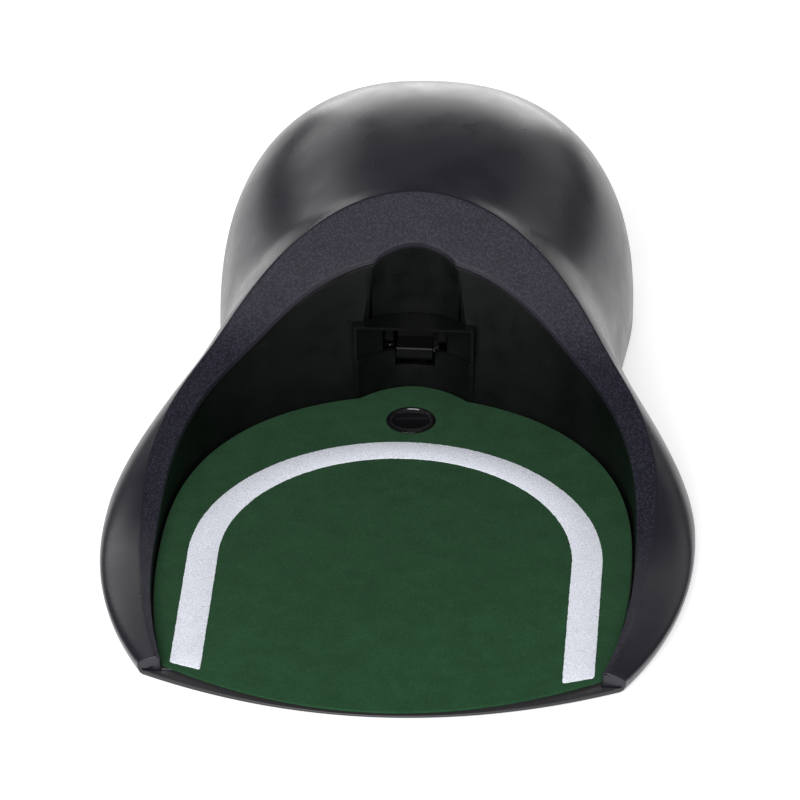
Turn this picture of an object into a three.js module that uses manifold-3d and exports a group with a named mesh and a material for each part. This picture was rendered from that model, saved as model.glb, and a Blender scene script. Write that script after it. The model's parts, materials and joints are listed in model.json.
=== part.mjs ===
// Automatic putting cup: a hooded machine that returns a putted golf ball.
// Millimetres, +Z up, the player stands on the -Y side. The origin is at the middle of the footprint,
// on the floor.
import * as THREE from 'three';
import { mergeVertices } from 'three/addons/utils/BufferGeometryUtils.js';
import Module from 'manifold-3d';

const wasm = await Module();
wasm.setup();

// ---------------------------------------------------------------- driving dimensions
const FRONT_Y = -206;            // front edge of the lip
const REAR_Y = 206;              // back of the dome
const SHELL_BOTTOM = 1;          // the feet lift the shell off the floor by this much
const WALL = 2.5;                // moulded wall of the housing
const GAP = 0.3;                 // clearance between neighbouring pieces

const HOUSING_FRONT_Y = -181.8;  // front ends of the two cheeks
const CHEEK_HALF = 122.5;        // half-width where the cheeks are widest
const CHEEK_Y = -77;
const CHEEK_REACH = 168;         // reach of the ellipse that the cheeks follow towards the front
const WAIST_HALF = 88;
const WAIST_Y = 45;
const DOME_HALF = 93.6;
const DOME_Y = 116;
const DOME_TOP = 109;
const WIDEST_Z = 5;              // height at which each section is widest
const SKIRT_TUCK = 1.2;          // how far the bottom edge tucks in under the widest line

const RIM_HALF = 106;            // outer edge of the rim, in plan
const RIM_Y = -65;
const RIM_TOP_Y = 48;
const RIM_FRONT_REACH = 213.7;

const GREEN_HALF = 97.5;         // the green, in plan
const GREEN_Y = -102;
const GREEN_REAR_REACH = 123.5;
const GREEN_FRONT_REACH = 174;
const GREEN_INSET = 0.8;         // gap from the wall's foot to the felt, and a wider one to the deck
const DECK_INSET = 1.1;
const WALL_LEAN = 0.11;          // outward lean of the cowl, millimetres per millimetre of height
const LEAN_FROM_Z = 8;
const COWL_WALL = 2;
const RAMP_GAP_HALF = 98;        // the base plate is open under the thin front of the ramp
const RAMP_GAP_REAR_Y = -118;

const DECK_SLOPE = 0.0489;       // 2.8 degrees
const DECK_FRONT_Z = 1.9;
const FELT_THICKNESS = 0.8;
const FELT_CORNER_Y = -179;      // where the felt's bowed front edge meets the cheeks
const FELT_FRONT_Y = -204.6;
const LIP_HALF = 94.2;           // the deck's bare lip, in plan
const LIP_CORNER_Y = -182.2;
const DISH_CLEARANCE = 0.4;

const POCKET_HALF = 23.8;        // ball pocket at the back of the green
const POCKET_MOUTH_Y = 19;
const POCKET_REAR_Y = 29.8;
const POCKET_TOP_Z = 48.5;
const CHANNEL_RADIUS = 31;       // round groove in the hood over the pocket
const CHANNEL_Y = 2;
const LEDGE_Z = 32.2;
const WINDOW_HALF = 14;
const WINDOW_TOP_Z = 47;
const STRIKER_SLOT_HALF = 8.6;   // slot under the window that the striker swings through
const STRIKER_SLOT_Z = 24.6;
const LEVER_SLOT_HALF = 3;       // slot at the foot of the pocket for the switch lever
const LEVER_SLOT_Z = 10.4;

const DISH_Y = 1.8;
const DISH_RADIUS = 10.3;
const KICKER_Y = 34.6;           // kicker pivot
const KICKER_Z = 43.3;
const BARREL_RADIUS = 3.2;
const BARREL_HALF = 13.3;
const STRIKER_HALF = 7.75;
const TAIL_LENGTH = 28;          // pivot to the nose that rides on the cam
const CAM_TURN = 300;            // degrees of cam for one full draw
const KICKER_DRAW = 30;          // degrees the kicker is drawn back by it

// ---------------------------------------------------------------- small helpers
const part = new THREE.Group();

const plastic = (color, roughness) => new THREE.MeshStandardMaterial({ color, roughness, metalness: 0 });
const metal = (color, roughness = 0.35) =>
  new THREE.MeshStandardMaterial({ color, roughness, metalness: 1 });

function addPiece(name, geometry, material) {
  const mesh = new THREE.Mesh(geometry, material);
  mesh.name = name;
  part.add(mesh);
  return mesh;
}

function weld(geometry) {
  const bare = new THREE.BufferGeometry();
  bare.setAttribute('position', geometry.getAttribute('position').clone());
  if (geometry.index) bare.setIndex(geometry.index.clone());
  const merged = mergeVertices(bare, 1e-4);
  const index = merged.index.array;
  const kept = [];
  for (let i = 0; i < index.length; i += 3) {
    const [a, b, c] = [index[i], index[i + 1], index[i + 2]];
    if (a !== b && b !== c && a !== c) kept.push(a, b, c);
  }
  merged.setIndex(kept);
  return merged;
}

function toSolid(geometry) {
  const welded = weld(geometry);
  return new wasm.Manifold(new wasm.Mesh({
    numProp: 3,
    vertProperties: new Float32Array(welded.getAttribute('position').array),
    triVerts: new Uint32Array(welded.index.array),
  }));
}

function toGeometry(solid) {
  const mesh = solid.getMesh();
  const geometry = new THREE.BufferGeometry();
  geometry.setAttribute('position', new THREE.BufferAttribute(new Float32Array(mesh.vertProperties), 3));
  geometry.setIndex(new THREE.BufferAttribute(new Uint32Array(mesh.triVerts), 1));
  return geometry;
}

const join = (...geometries) => toGeometry(geometries.map(toSolid).reduce((all, one) => all.add(one)));
const cut = (geometry, ...tools) =>
  toGeometry(tools.map(toSolid).reduce((left, tool) => left.subtract(tool), toSolid(geometry)));
const common = (a, b) => toGeometry(toSolid(a).intersect(toSolid(b)));

function box(x0, x1, y0, y1, z0, z1) {
  return new THREE.BoxGeometry(x1 - x0, y1 - y0, z1 - z0)
    .translate((x0 + x1) / 2, (y0 + y1) / 2, (z0 + z1) / 2);
}

// A round bar along Z or X from one end to the other.
function barZ(radius, x, y, z0, z1, sides = 24) {
  return new THREE.CylinderGeometry(radius, radius, z1 - z0, sides)
    .rotateX(Math.PI / 2)
    .translate(x, y, (z0 + z1) / 2);
}

function barX(radius, y, z, x0, x1, sides = 24) {
  return new THREE.CylinderGeometry(radius, radius, x1 - x0, sides)
    .rotateZ(Math.PI / 2)
    .translate((x0 + x1) / 2, y, z);
}

// An outline in the XY plane, raised from z0 to z1.
function prism(outline, z0, z1) {
  return new THREE.ExtrudeGeometry(new THREE.Shape(outline), { depth: z1 - z0, bevelEnabled: false })
    .translate(0, 0, z0);
}

// An outline drawn as (y, z), spread along X from x0 to x1.
function prismX(outline, x0, x1) {
  return new THREE.ExtrudeGeometry(new THREE.Shape(outline), { depth: x1 - x0, bevelEnabled: false })
    .applyMatrix4(new THREE.Matrix4().set(0, 0, 1, x0, 1, 0, 0, 0, 0, 1, 0, 0, 0, 0, 0, 1));
}

// A plate with a given outline whose top and bottom heights depend on y.
function slab(outline, topZ, bottomZ) {
  const flat = prism(outline, 0, 1);
  const position = flat.getAttribute('position');
  for (let i = 0; i < position.count; i++) {
    const height = position.getZ(i) > 0.5 ? topZ(position.getY(i)) : bottomZ(position.getY(i));
    position.setZ(i, height);
  }
  return flat;
}

// A solid through closed loops of equal length, capped flat at both ends.
function loft(loops) {
  const count = loops[0].length;
  const points = loops.flat();
  const index = [];
  for (let k = 0; k + 1 < loops.length; k++) {
    for (let i = 0; i < count; i++) {
      const j = (i + 1) % count;
      const [a, b, c, d] = [k * count + i, k * count + j, (k + 1) * count + i, (k + 1) * count + j];
      index.push(a, b, d, a, d, c);
    }
  }
  for (const [start, flip] of [[0, true], [(loops.length - 1) * count, false]]) {
    const centre = new THREE.Vector3();
    for (let i = 0; i < count; i++) centre.addScaledVector(points[start + i], 1 / count);
    const hub = points.push(centre) - 1;
    for (let i = 0; i < count; i++) {
      const [a, b] = [start + i, start + ((i + 1) % count)];
      index.push(...(flip ? [hub, b, a] : [hub, a, b]));
    }
  }
  let volume = 0;
  for (let i = 0; i < index.length; i += 3) {
    const [a, b, c] = [points[index[i]], points[index[i + 1]], points[index[i + 2]]];
    volume += a.dot(new THREE.Vector3().crossVectors(b, c));
  }
  if (volume < 0) index.reverse();
  const geometry = new THREE.BufferGeometry().setFromPoints(points);
  geometry.setIndex(index);
  return geometry;
}

const spread = (from, to, steps, value) =>
  Array.from({ length: steps + 1 }, (_, i) => value(from + ((to - from) * i) / steps));
const mix = (a, b, t) => a + (b - a) * t;
const smooth = (a, b, x) => THREE.MathUtils.smoothstep(x, a, b);
const easeRamp = (x, width) => width * Math.log(1 + Math.exp(x / width));
const power = (x, exponent) => Math.pow(Math.max(x, 0), exponent);

// ---------------------------------------------------------------- the shapes everything follows
// Half-width of the footprint: cheeks, waist, dome.
function footHalf(y) {
  if (y <= CHEEK_Y) return CHEEK_HALF * Math.sqrt(1 - ((y - CHEEK_Y) / CHEEK_REACH) ** 2);
  if (y <= WAIST_Y) {
    const t = power((y - CHEEK_Y) / (WAIST_Y - CHEEK_Y), 1.2);
    return mix(CHEEK_HALF, WAIST_HALF, 0.5 - 0.5 * Math.cos(Math.PI * t));
  }
  if (y <= DOME_Y) return mix(WAIST_HALF, DOME_HALF, smooth(WAIST_Y, DOME_Y, y));
  return DOME_HALF * power(1 - power((y - DOME_Y) / (REAR_Y - DOME_Y), 2.3), 1 / 2.3);
}

// Height of the rim face, which is the same straight across the object at each y.
const rimHeight = (y) => 9 + 0.045 * (y + 184) + 0.33 * easeRamp(y + 90, 8) + 0.76 * easeRamp(y - 2, 5);

function rimHalf(y) {
  if (y <= RIM_Y) return RIM_HALF * Math.sqrt(1 - ((y - RIM_Y) / RIM_FRONT_REACH) ** 2);
  return RIM_HALF * Math.sqrt(Math.max(0, 1 - power((y - RIM_Y) / (RIM_TOP_Y - RIM_Y), 1.8)));
}

// Height of the ridge behind the rim, over the dome and down its back.
function ridgeHeight(y) {
  const start = rimHeight(RIM_TOP_Y);
  if (y <= DOME_Y) return mix(start, DOME_TOP, smooth(RIM_TOP_Y, DOME_Y, y));
  const fall = power(1 - power((y - DOME_Y) / (REAR_Y - DOME_Y), 2.2), 1 / 2.2);
  return WIDEST_Z + (DOME_TOP - WIDEST_Z) * fall;
}

// The green in plan, grown by d: half-width at y, and its whole outline from the front right round.
function greenHalf(y, d) {
  if (y <= GREEN_Y) return (GREEN_HALF + d) * Math.sqrt(1 - ((y - GREEN_Y) / GREEN_FRONT_REACH) ** 2);
  return (GREEN_HALF + d) * Math.sqrt(Math.max(0, 1 - power((y - GREEN_Y) / (GREEN_REAR_REACH + d), 2.6)));
}

function greenArch(d, frontY, steps = 20) {
  const rear = GREEN_Y + GREEN_REAR_REACH + d;
  const right = spread(0, Math.PI / 2, steps, (a) => {
    const y = frontY + (rear - frontY) * Math.sin(a);
    return new THREE.Vector2(greenHalf(y, d), y);
  });
  const left = right.slice(0, -1).reverse().map((p) => new THREE.Vector2(-p.x, p.y));
  return [...right, ...left];
}

const deckTop = (y) => DECK_FRONT_Z + DECK_SLOPE * (y + 204.6);
const feltTop = (y) => deckTop(y) + 0.1 + FELT_THICKNESS;
const wallGrowth = (z) => WALL_LEAN * (z - LEAN_FROM_Z) + 0.1;

// An arc bulging towards the front from corner to corner, the left corner left out.
function frontArc(half, cornerY, bow, steps = 12) {
  return spread(-half, half, steps, (x) => new THREE.Vector2(x, cornerY - bow * (1 - (x / half) ** 2)));
}

// ---------------------------------------------------------------- housing
// One cross-section of the filled housing, moved inwards by inset.
function housingSection(y, inset, bottomZ, steps = 9) {
  const open = y < RIM_TOP_Y;
  const half = Math.max(footHalf(y) - inset, 0.5);
  const edgeX = open ? Math.max(rimHalf(y) - inset, 0) : 0;
  const edgeZ = (open ? rimHeight(y) : ridgeHeight(y)) - inset;
  const widestZ = Math.min(WIDEST_Z, (edgeZ + bottomZ) / 2);
  // an ellipse cut off where it meets the rim, and squarer over the dome
  const round = mix(1, 0.86, smooth(RIM_TOP_Y, DOME_Y, y));
  const edgeAngle = Math.acos(Math.min(edgeX / half, 1));
  const right = spread(0, edgeAngle, steps, (a) => new THREE.Vector3(
    half * power(Math.cos(a), round), y,
    widestZ + (edgeZ - widestZ) * power(Math.sin(a) / Math.sin(edgeAngle), round)));
  right.unshift(new THREE.Vector3(half - Math.min(SKIRT_TUCK, half / 2), y, bottomZ));
  right[right.length - 1].x = edgeX;
  const left = right.map((p) => new THREE.Vector3(-p.x, y, p.z)).reverse();
  return [...right, ...left];
}

function housingSolid(inset, bottomZ) {
  const front = HOUSING_FRONT_Y + inset;
  const rear = DOME_Y + (REAR_Y - DOME_Y - inset) * 0.9999;
  const stations = [
    ...spread(front, RIM_Y, 6, (y) => y),
    ...spread(0, 1, 9, (t) => RIM_Y + (RIM_TOP_Y - RIM_Y) * Math.sin((Math.PI / 2) * t)).slice(1),
    ...spread(RIM_TOP_Y, DOME_Y, 4, (y) => y).slice(1),
    ...spread(0, Math.PI / 2, 8, (a) => DOME_Y + (rear - DOME_Y) * Math.sin(a)).slice(1),
  ];
  // the inset dome shrinks towards its own centre, so its wall is even at the back
  const scale = (REAR_Y - DOME_Y) / (REAR_Y - DOME_Y - inset);
  return loft(stations.map((y) => {
    const source = y > DOME_Y ? DOME_Y + (y - DOME_Y) * scale : y;
    return housingSection(Math.min(source, REAR_Y - 0.02), inset, bottomZ).map((p) => p.setY(y));
  }));
}

// The space over the green, open to the front and the top, with leaning walls.
function greenWell(growth, z0, z1) {
  const level = (z) => greenArch(wallGrowth(z) + growth, -230).map((p) => new THREE.Vector3(p.x, p.y, z));
  return loft([level(z0), level(z1)]);
}

const pocketArc = (half, rear, mouth, steps = 10) => spread(-half, half, steps, (x) =>
  new THREE.Vector2(-x, rear - (rear - mouth) * (x / half) ** 2));

// The pocket's vertical sides and bowed back wall, as a plan outline.
function pocketOutline(grow = 0) {
  const half = POCKET_HALF + grow;
  return [
    new THREE.Vector2(-half, -20),
    new THREE.Vector2(half, -20),
    ...pocketArc(half, POCKET_REAR_Y + grow, POCKET_MOUTH_Y + grow),
  ];
}

const ballChannel = (grow) => barZ(CHANNEL_RADIUS + grow, 0, CHANNEL_Y, POCKET_TOP_Z - 0.01, 130, 48);

// Screw bosses, and how deep the screw hole in each one reaches
const BOSSES = [[103, -120], [-103, -120], [98, -8], [-98, -8], [62, 168], [-62, 168]];
const BOSS_RADIUS = 3.6;
const BOSS_BOTTOM_Z = 3.4;
function bossTop([, y]) {
  if (y < -100) return 7.5;
  return y < 0 ? 16 : 30;
}

function buildHousing() {
  const filled = housingSolid(0, SHELL_BOTTOM);
  const hollow = housingSolid(WALL, SHELL_BOTTOM - 3);
  let shell = toSolid(filled).subtract(toSolid(hollow));
  shell = shell.subtract(toSolid(greenWell(0, -5, 130))).subtract(toSolid(ballChannel(0)));
  for (const place of BOSSES) {
    const [x, y] = place;
    const post = barZ(BOSS_RADIUS, x, y, BOSS_BOTTOM_Z, DOME_TOP, 10);
    shell = shell.add(toSolid(post).intersect(toSolid(housingSolid(0.6, 0))));
    shell = shell.subtract(toSolid(barZ(1.75, x, y, 0, bossTop(place), 8)));
  }
  return toGeometry(shell);
}

addPiece('upper_housing', buildHousing(), plastic(0x15151a, 0.55));

// ---------------------------------------------------------------- inner cowl
function buildCowl() {
  const base = 3.3;
  // over the gap in the base plate a thinner skirt carries the wall down past the deck's edge
  const skirt = common(greenWell(1.1, SHELL_BOTTOM + 0.2, base + 1),
    box(-RAMP_GAP_HALF, RAMP_GAP_HALF, -230, RAMP_GAP_REAR_Y - GAP, 0, base + 1));
  const outer = join(
    skirt,
    greenWell(COWL_WALL, base, 128),
    prism(pocketOutline(COWL_WALL), base, POCKET_TOP_Z + COWL_WALL),
    barZ(CHANNEL_RADIUS + COWL_WALL, 0, CHANNEL_Y, POCKET_TOP_Z, 128, 48),
  );
  let cowl = toSolid(outer).subtract(toSolid(greenWell(0, 0, 130)));
  // the pocket's frame stands proud of the leaning wall up to the shoulder
  const frame = prism(pocketOutline(COWL_WALL), base, POCKET_TOP_Z);
  const behindMouth = box(-40, 40, POCKET_MOUTH_Y - 0.4, 60, 0, 60);
  cowl = cowl.add(toSolid(common(frame, behindMouth)));
  cowl = cowl.subtract(toSolid(prism(pocketOutline(), 0, LEDGE_Z)));
  cowl = cowl.subtract(toSolid(prism(pocketOutline(0.8), LEDGE_Z, POCKET_TOP_Z - 1.2)));
  cowl = cowl.subtract(toSolid(ballChannel(0)));
  cowl = cowl.subtract(toSolid(box(-WINDOW_HALF, WINDOW_HALF, 20, 40, LEDGE_Z, WINDOW_TOP_Z)));
  cowl = cowl.subtract(toSolid(box(-LEVER_SLOT_HALF, LEVER_SLOT_HALF, 24, 40, 0, LEVER_SLOT_Z)));
  const strikerSlot = box(-STRIKER_SLOT_HALF, STRIKER_SLOT_HALF, 22, 40, STRIKER_SLOT_Z, LEDGE_Z + 1);
  cowl = cowl.subtract(toSolid(strikerSlot));
  cowl = cowl.intersect(toSolid(housingSolid(WALL + GAP, -2)));
  cowl = cowl.subtract(toSolid(box(-130, 130, -260, HOUSING_FRONT_Y + WALL + 0.4, -5, 140)));
  return toGeometry(cowl);
}

addPiece('inner_cowl', buildCowl(), plastic(0x101312, 0.35));

// ---------------------------------------------------------------- deck, felt and line
// Green with the pocket, as one outline: arch, pocket, arch, and the bowed front edge.
function greenOutline(d, frontCornerY, bow) {
  const arch = greenArch(d, frontCornerY);
  const mouth = POCKET_HALF + d;
  const right = arch.filter((p) => p.x > mouth + 1);
  const left = arch.filter((p) => p.x < -mouth - 1);
  const pocket = pocketArc(mouth, POCKET_REAR_Y + d, POCKET_MOUTH_Y + d);
  const corner = greenHalf(frontCornerY, d);
  return [...right, ...pocket, ...left, ...frontArc(corner, frontCornerY, bow).slice(1, -1)];
}

// The deck fits between the cheeks and widens into the lip just in front of them.
function deckOutline() {
  const green = greenOutline(-DECK_INSET, LIP_CORNER_Y + 1, 0).filter((p) => p.y > LIP_CORNER_Y + 0.9);
  const neck = greenHalf(LIP_CORNER_Y, -DECK_INSET);
  const lip = frontArc(LIP_HALF, LIP_CORNER_Y, LIP_CORNER_Y - FRONT_Y);
  return [...green, new THREE.Vector2(-neck, LIP_CORNER_Y), ...lip, new THREE.Vector2(neck, LIP_CORNER_Y)];
}

const dishHole = (grow) => barZ(DISH_RADIUS + grow, 0, DISH_Y, -5, 40, 32);
const deckUnder = (y) => Math.max(SHELL_BOTTOM, SHELL_BOTTOM + 0.042 * (y + 180));
const deck = slab(deckOutline(), deckTop, deckUnder);
addPiece('ramp_deck', cut(deck, dishHole(DISH_CLEARANCE + 0.1)), plastic(0x121216, 0.5));

const feltOutline = greenOutline(-GREEN_INSET, FELT_CORNER_Y, FELT_CORNER_Y - FELT_FRONT_Y);
const felt = slab(feltOutline, feltTop, (y) => deckTop(y) + 0.1);
addPiece('felt_pad', cut(felt, dishHole(DISH_CLEARANCE)),
  new THREE.MeshStandardMaterial({ color: 0x1f4a2c, roughness: 0.95 }));

function guideLineOutline() {
  const [outer, inner, centreY] = [84.8, 72.3, -100.5];
  const legDraw = 1.3;             // the legs close in by this much towards the front
  const end = (x) => new THREE.Vector2(x - Math.sign(x) * legDraw, -178 - 0.6 * (outer - Math.abs(x)));
  const arc = (radius, from, to) => spread(from, to, 24, (a) =>
    new THREE.Vector2(radius * Math.cos(a), centreY + radius * Math.sin(a)));
  return [
    end(outer), ...arc(outer, 0, Math.PI), end(-outer),
    end(-inner), ...arc(inner, Math.PI, 0), end(inner),
  ];
}

addPiece('guide_line', slab(guideLineOutline(), (y) => feltTop(y) + 0.22, (y) => feltTop(y) + 0.02),
  new THREE.MeshStandardMaterial({ color: 0xe8e8e6, roughness: 0.9 }));

// ---------------------------------------------------------------- base plate, feet, screws
const BASE_THICKNESS = 2;
const BASE_TOP = SHELL_BOTTOM + BASE_THICKNESS;
const BASE_INSET = WALL + SKIRT_TUCK + 0.5;
const DOOR = { half: 31, front: 133, rear: 187 };
const DOOR_GAP = 0.4;
const SWITCH = { x: -52, y: 110 };
const FEET = {
  front_right: [104, -98],
  front_left: [-104, -98],
  rear_right: [44, 182],
  rear_left: [-44, 182],
};

function buildBase() {
  const frontY = HOUSING_FRONT_Y + WALL + 0.5;
  const rearY = REAR_Y - BASE_INSET - 0.5;
  const rows = [
    ...spread(frontY, DOME_Y, 14, (y) => y),
    ...spread(0, Math.PI / 2, 8, (a) => DOME_Y + (rearY - DOME_Y) * Math.sin(a)).slice(1),
  ];
  const scale = (REAR_Y - DOME_Y) / (rearY - DOME_Y);
  const right = rows.map((y) => {
    const source = y > DOME_Y ? DOME_Y + (y - DOME_Y) * scale : y;
    return new THREE.Vector2(Math.max(footHalf(Math.min(source, REAR_Y)) - BASE_INSET, 0), y);
  });
  const left = right.slice(0, -1).map((p) => new THREE.Vector2(-p.x, p.y)).reverse();
  const openings = [
    box(-RAMP_GAP_HALF, RAMP_GAP_HALF, -230, RAMP_GAP_REAR_Y, -5, 10),
    box(-DOOR.half, DOOR.half, DOOR.front, DOOR.rear, -5, 10),
    box(SWITCH.x - 5, SWITCH.x + 5, SWITCH.y - 2, SWITCH.y + 2, -5, 10),
    ...Object.values(FEET).map(([x, y]) => barZ(2.4, x, y, -5, 10, 8)),
    ...BOSSES.map(([x, y]) => barZ(1.9, x, y, -5, 10, 8)),
    ...BOSSES.map(([x, y]) => barZ(3.4, x, y, -5, SHELL_BOTTOM + 1.1, 8)),
  ];
  return cut(prism([...right, ...left], SHELL_BOTTOM, BASE_TOP), ...openings);
}

addPiece('base_plate', buildBase(), plastic(0x141416, 0.6));

// ---------------------------------------------------------------- feet and screws
const RUBBER = new THREE.MeshStandardMaterial({ color: 0x202022, roughness: 0.95 });
const lathe = (profile, sides = 12) =>
  new THREE.LatheGeometry(profile.map(([r, z]) => new THREE.Vector2(r, z)), sides).rotateX(Math.PI / 2);

for (const [place, [x, y]] of Object.entries(FEET)) {
  const foot = lathe([[0, 0], [5.2, 0], [5.8, 0.3], [5.8, 0.85], [2, 0.85], [2, 2.6], [0, 2.6]]);
  addPiece(`foot_${place}`, foot.translate(x, y, 0), RUBBER);
}

BOSSES.forEach((place, i) => {
  const tip = bossTop(place) - 1;
  const profile = [[0, 1.25], [2.7, 1.25], [3, 1.5], [3, 1.95], [1.45, 1.95], [1.45, tip - 1.5], [0, tip]];
  const screw = lathe(profile, 8);
  addPiece(`base_screw_${i + 1}`, screw.translate(place[0], place[1], 0), metal(0x9a9a9c));
});

// ---------------------------------------------------------------- trigger dish, its spring and switch
class Helix extends THREE.Curve {
  constructor(radius, turns, height) {
    super();
    Object.assign(this, { radius, turns, height });
  }

  getPoint(t) {
    const a = 2 * Math.PI * this.turns * t;
    return new THREE.Vector3(this.radius * Math.cos(a), this.radius * Math.sin(a), this.height * t);
  }
}

function coil(radius, wire, turns, height, stepsPerTurn = 9) {
  const section = new THREE.Shape(spread(0, 1.5 * Math.PI, 3, (a) =>
    new THREE.Vector2(wire * Math.cos(a), wire * Math.sin(a))));
  return new THREE.ExtrudeGeometry(section, {
    steps: turns * stepsPerTurn, bevelEnabled: false, extrudePath: new Helix(radius, turns, height),
  });
}

const DISH_TILT = Math.atan(DECK_SLOPE);
const LEVER_Z = 7.3;
const LEVER_PIVOT_Y = 43;
const FINGER_Y = 10;

function buildDish() {
  const rise = feltTop(DISH_Y) + 0.2;
  const bowl = lathe([
    [0, -4.0], [4, -4.0], [7.2, -3.3], [9.3, -2.2], [DISH_RADIUS, -1.8], [DISH_RADIUS, -0.2], [9.9, 0],
    [9.3, -0.1], [8, -1.1], [6, -2.1], [3.5, -2.7], [0, -2.8],
  ], 24).rotateX(DISH_TILT).translate(0, DISH_Y, rise);
  return join(bowl, box(-2, 2, FINGER_Y - 1, FINGER_Y + 1, LEVER_Z + 0.6, rise - 2));
}

addPiece('trigger_dish', buildDish(), plastic(0x08080a, 0.12));
addPiece('trigger_spring', coil(4, 0.3, 4, 4.6).translate(0, DISH_Y, BASE_TOP + 0.6), metal(0xb8b8ba));
addPiece('switch_lever', box(-2, 2, 8, LEVER_PIVOT_Y + 0.4, LEVER_Z - 0.3, LEVER_Z + 0.3), metal(0xc0c0c2));
addPiece('microswitch', box(-3.2, 3.2, LEVER_PIVOT_Y + 1, 64, BASE_TOP + GAP, 13.3), plastic(0x1a1a1c, 0.5));

// ---------------------------------------------------------------- kicker
const NOSE_RADIUS = 2.2;

function buildKicker() {
  const at = (y, z) => new THREE.Vector2(KICKER_Y + y, KICKER_Z + z);
  const strikerOutline = [
    at(2.4, -7), at(-10.6, -7), at(-11.1, -7.6), at(-11.1, -11.6),
    at(-10.4, -13), at(-9, -13.7), at(-4, -13.7), at(2.4, -9.5),
  ];
  const striker = prismX(strikerOutline, -STRIKER_HALF, STRIKER_HALF);
  const web = prismX([at(2.4, 0), at(-0.6, 0), at(-0.6, -7.5), at(2.4, -7.5)], -STRIKER_HALF, STRIKER_HALF);
  const armOutline = [at(2, 0), at(-2.4, 0), at(-2.4, -8.5), at(-1.4, -10), at(2, -10)];
  const arms = [prismX(armOutline, 9.8, BARREL_HALF), prismX(armOutline, -BARREL_HALF, -9.8)];
  // the tail runs beside the cam, and the nose pin reaches over it
  const tail = prismX([at(0, 2.8), at(0, -2.8), at(TAIL_LENGTH, -1.8), at(TAIL_LENGTH, 1.8)], -8.5, -4);
  const nose = barX(NOSE_RADIUS, KICKER_Y + TAIL_LENGTH, KICKER_Z, -8.5, 2.8, 14);
  const springLug = prismX([at(14, 1), at(14, -1), at(17, -1), at(17, 1)], -15, -6);
  const barrel = barX(BARREL_RADIUS, KICKER_Y, KICKER_Z, -BARREL_HALF, BARREL_HALF, 20);
  const solid = join(barrel, web, striker, ...arms, tail, nose, springLug);
  return cut(solid, barX(1.8, KICKER_Y, KICKER_Z, -20, 20, 16));
}

addPiece('kicker', buildKicker(), plastic(0x101012, 0.3));
addPiece('kicker_shaft', barX(1.5, KICKER_Y, KICKER_Z, -22.6, 22.6, 16), metal(0xb0b0b4));
addPiece('kicker_spring', coil(2.4, 0.35, 9, 36, 8).translate(-12.6, KICKER_Y + 15.5, 4.6), metal(0xb8b8ba));

// ---------------------------------------------------------------- gear train
const polar = ([y, z], distance, degrees) => {
  const a = THREE.MathUtils.degToRad(degrees);
  return [y + distance * Math.cos(a), z + distance * Math.sin(a)];
};
const CAM_CENTRE = [62, 34.6];
const CAM_TEETH = 36;
const WHEEL_TEETH = 30;
const PINION_TEETH = 10;         // module 1, so the pitch radius is half the teeth
const SECOND = polar(CAM_CENTRE, (CAM_TEETH + PINION_TEETH) / 2, -20);
const FIRST = polar(SECOND, (WHEEL_TEETH + PINION_TEETH) / 2, -10);
const MOTOR = polar(FIRST, (WHEEL_TEETH + PINION_TEETH) / 2, 60);

// A spur gear with one tooth centred on the angle toothAt.
function gear(teeth, [y, z], toothAt, x0, x1) {
  const pitch = 360 / teeth;
  const radius = teeth / 2;
  const corners = [[-0.23, -1.1], [-0.1, 0.7], [0.1, 0.7], [0.23, -1.1]];
  const outline = [];
  for (let tooth = 0; tooth < teeth; tooth++) {
    for (const [along, out] of corners) {
      const [py, pz] = polar([y, z], radius + out, toothAt + (tooth + along) * pitch);
      outline.push(new THREE.Vector2(py, pz));
    }
  }
  return prismX(outline, x0, x1);
}

const halfPitch = 180 / PINION_TEETH;
const GEAR_PLASTIC = plastic(0x2c2c2e, 0.4);

// The snail cam: its radius under the kicker's nose grows so that the kicker turns in step with it.
function camOutline() {
  const noseOverCam = (turn) => {
    const nose = polar([KICKER_Y, KICKER_Z], TAIL_LENGTH, (turn / CAM_TURN) * KICKER_DRAW);
    const [dy, dz] = [nose[0] - CAM_CENTRE[0], nose[1] - CAM_CENTRE[1]];
    const angle = THREE.MathUtils.radToDeg(Math.atan2(dz, dy)) + turn;
    return new THREE.Vector2(...polar(CAM_CENTRE, Math.hypot(dy, dz), angle));
  };
  const spiral = spread(0, CAM_TURN, 30, (turn) => {
    const along = noseOverCam(turn + 0.5).sub(noseOverCam(turn - 0.5)).normalize();
    const inward = new THREE.Vector2(-along.y, along.x);
    return noseOverCam(turn).addScaledVector(inward, NOSE_RADIUS + 0.4);
  });
  const base = spiral[0].distanceTo(new THREE.Vector2(...CAM_CENTRE));
  const step = spread(42, 76, 3, (angle) => new THREE.Vector2(...polar(CAM_CENTRE, base, angle)));
  return [...spiral, ...step];
}

const bore = (radius, [y, z]) => barX(radius, y, z, -30, 30, 14);
const camGear = cut(
  join(
    prismX(camOutline(), -3, 3),
    barX(5, ...CAM_CENTRE, -3, 9, 20),
    gear(CAM_TEETH, CAM_CENTRE, -20, 4, 9),
  ),
  bore(2.3, CAM_CENTRE),
);
addPiece('cam_gear', camGear, GEAR_PLASTIC);

function compound(centre, pinionAt, px0, px1, wheelAt, wx0, wx1) {
  return cut(
    join(
      gear(PINION_TEETH, centre, pinionAt + halfPitch, px0, px1),
      gear(WHEEL_TEETH, centre, wheelAt, wx0, wx1),
      barX(3, ...centre, px0, wx1, 14),
    ),
    bore(1.8, centre),
  );
}

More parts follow.
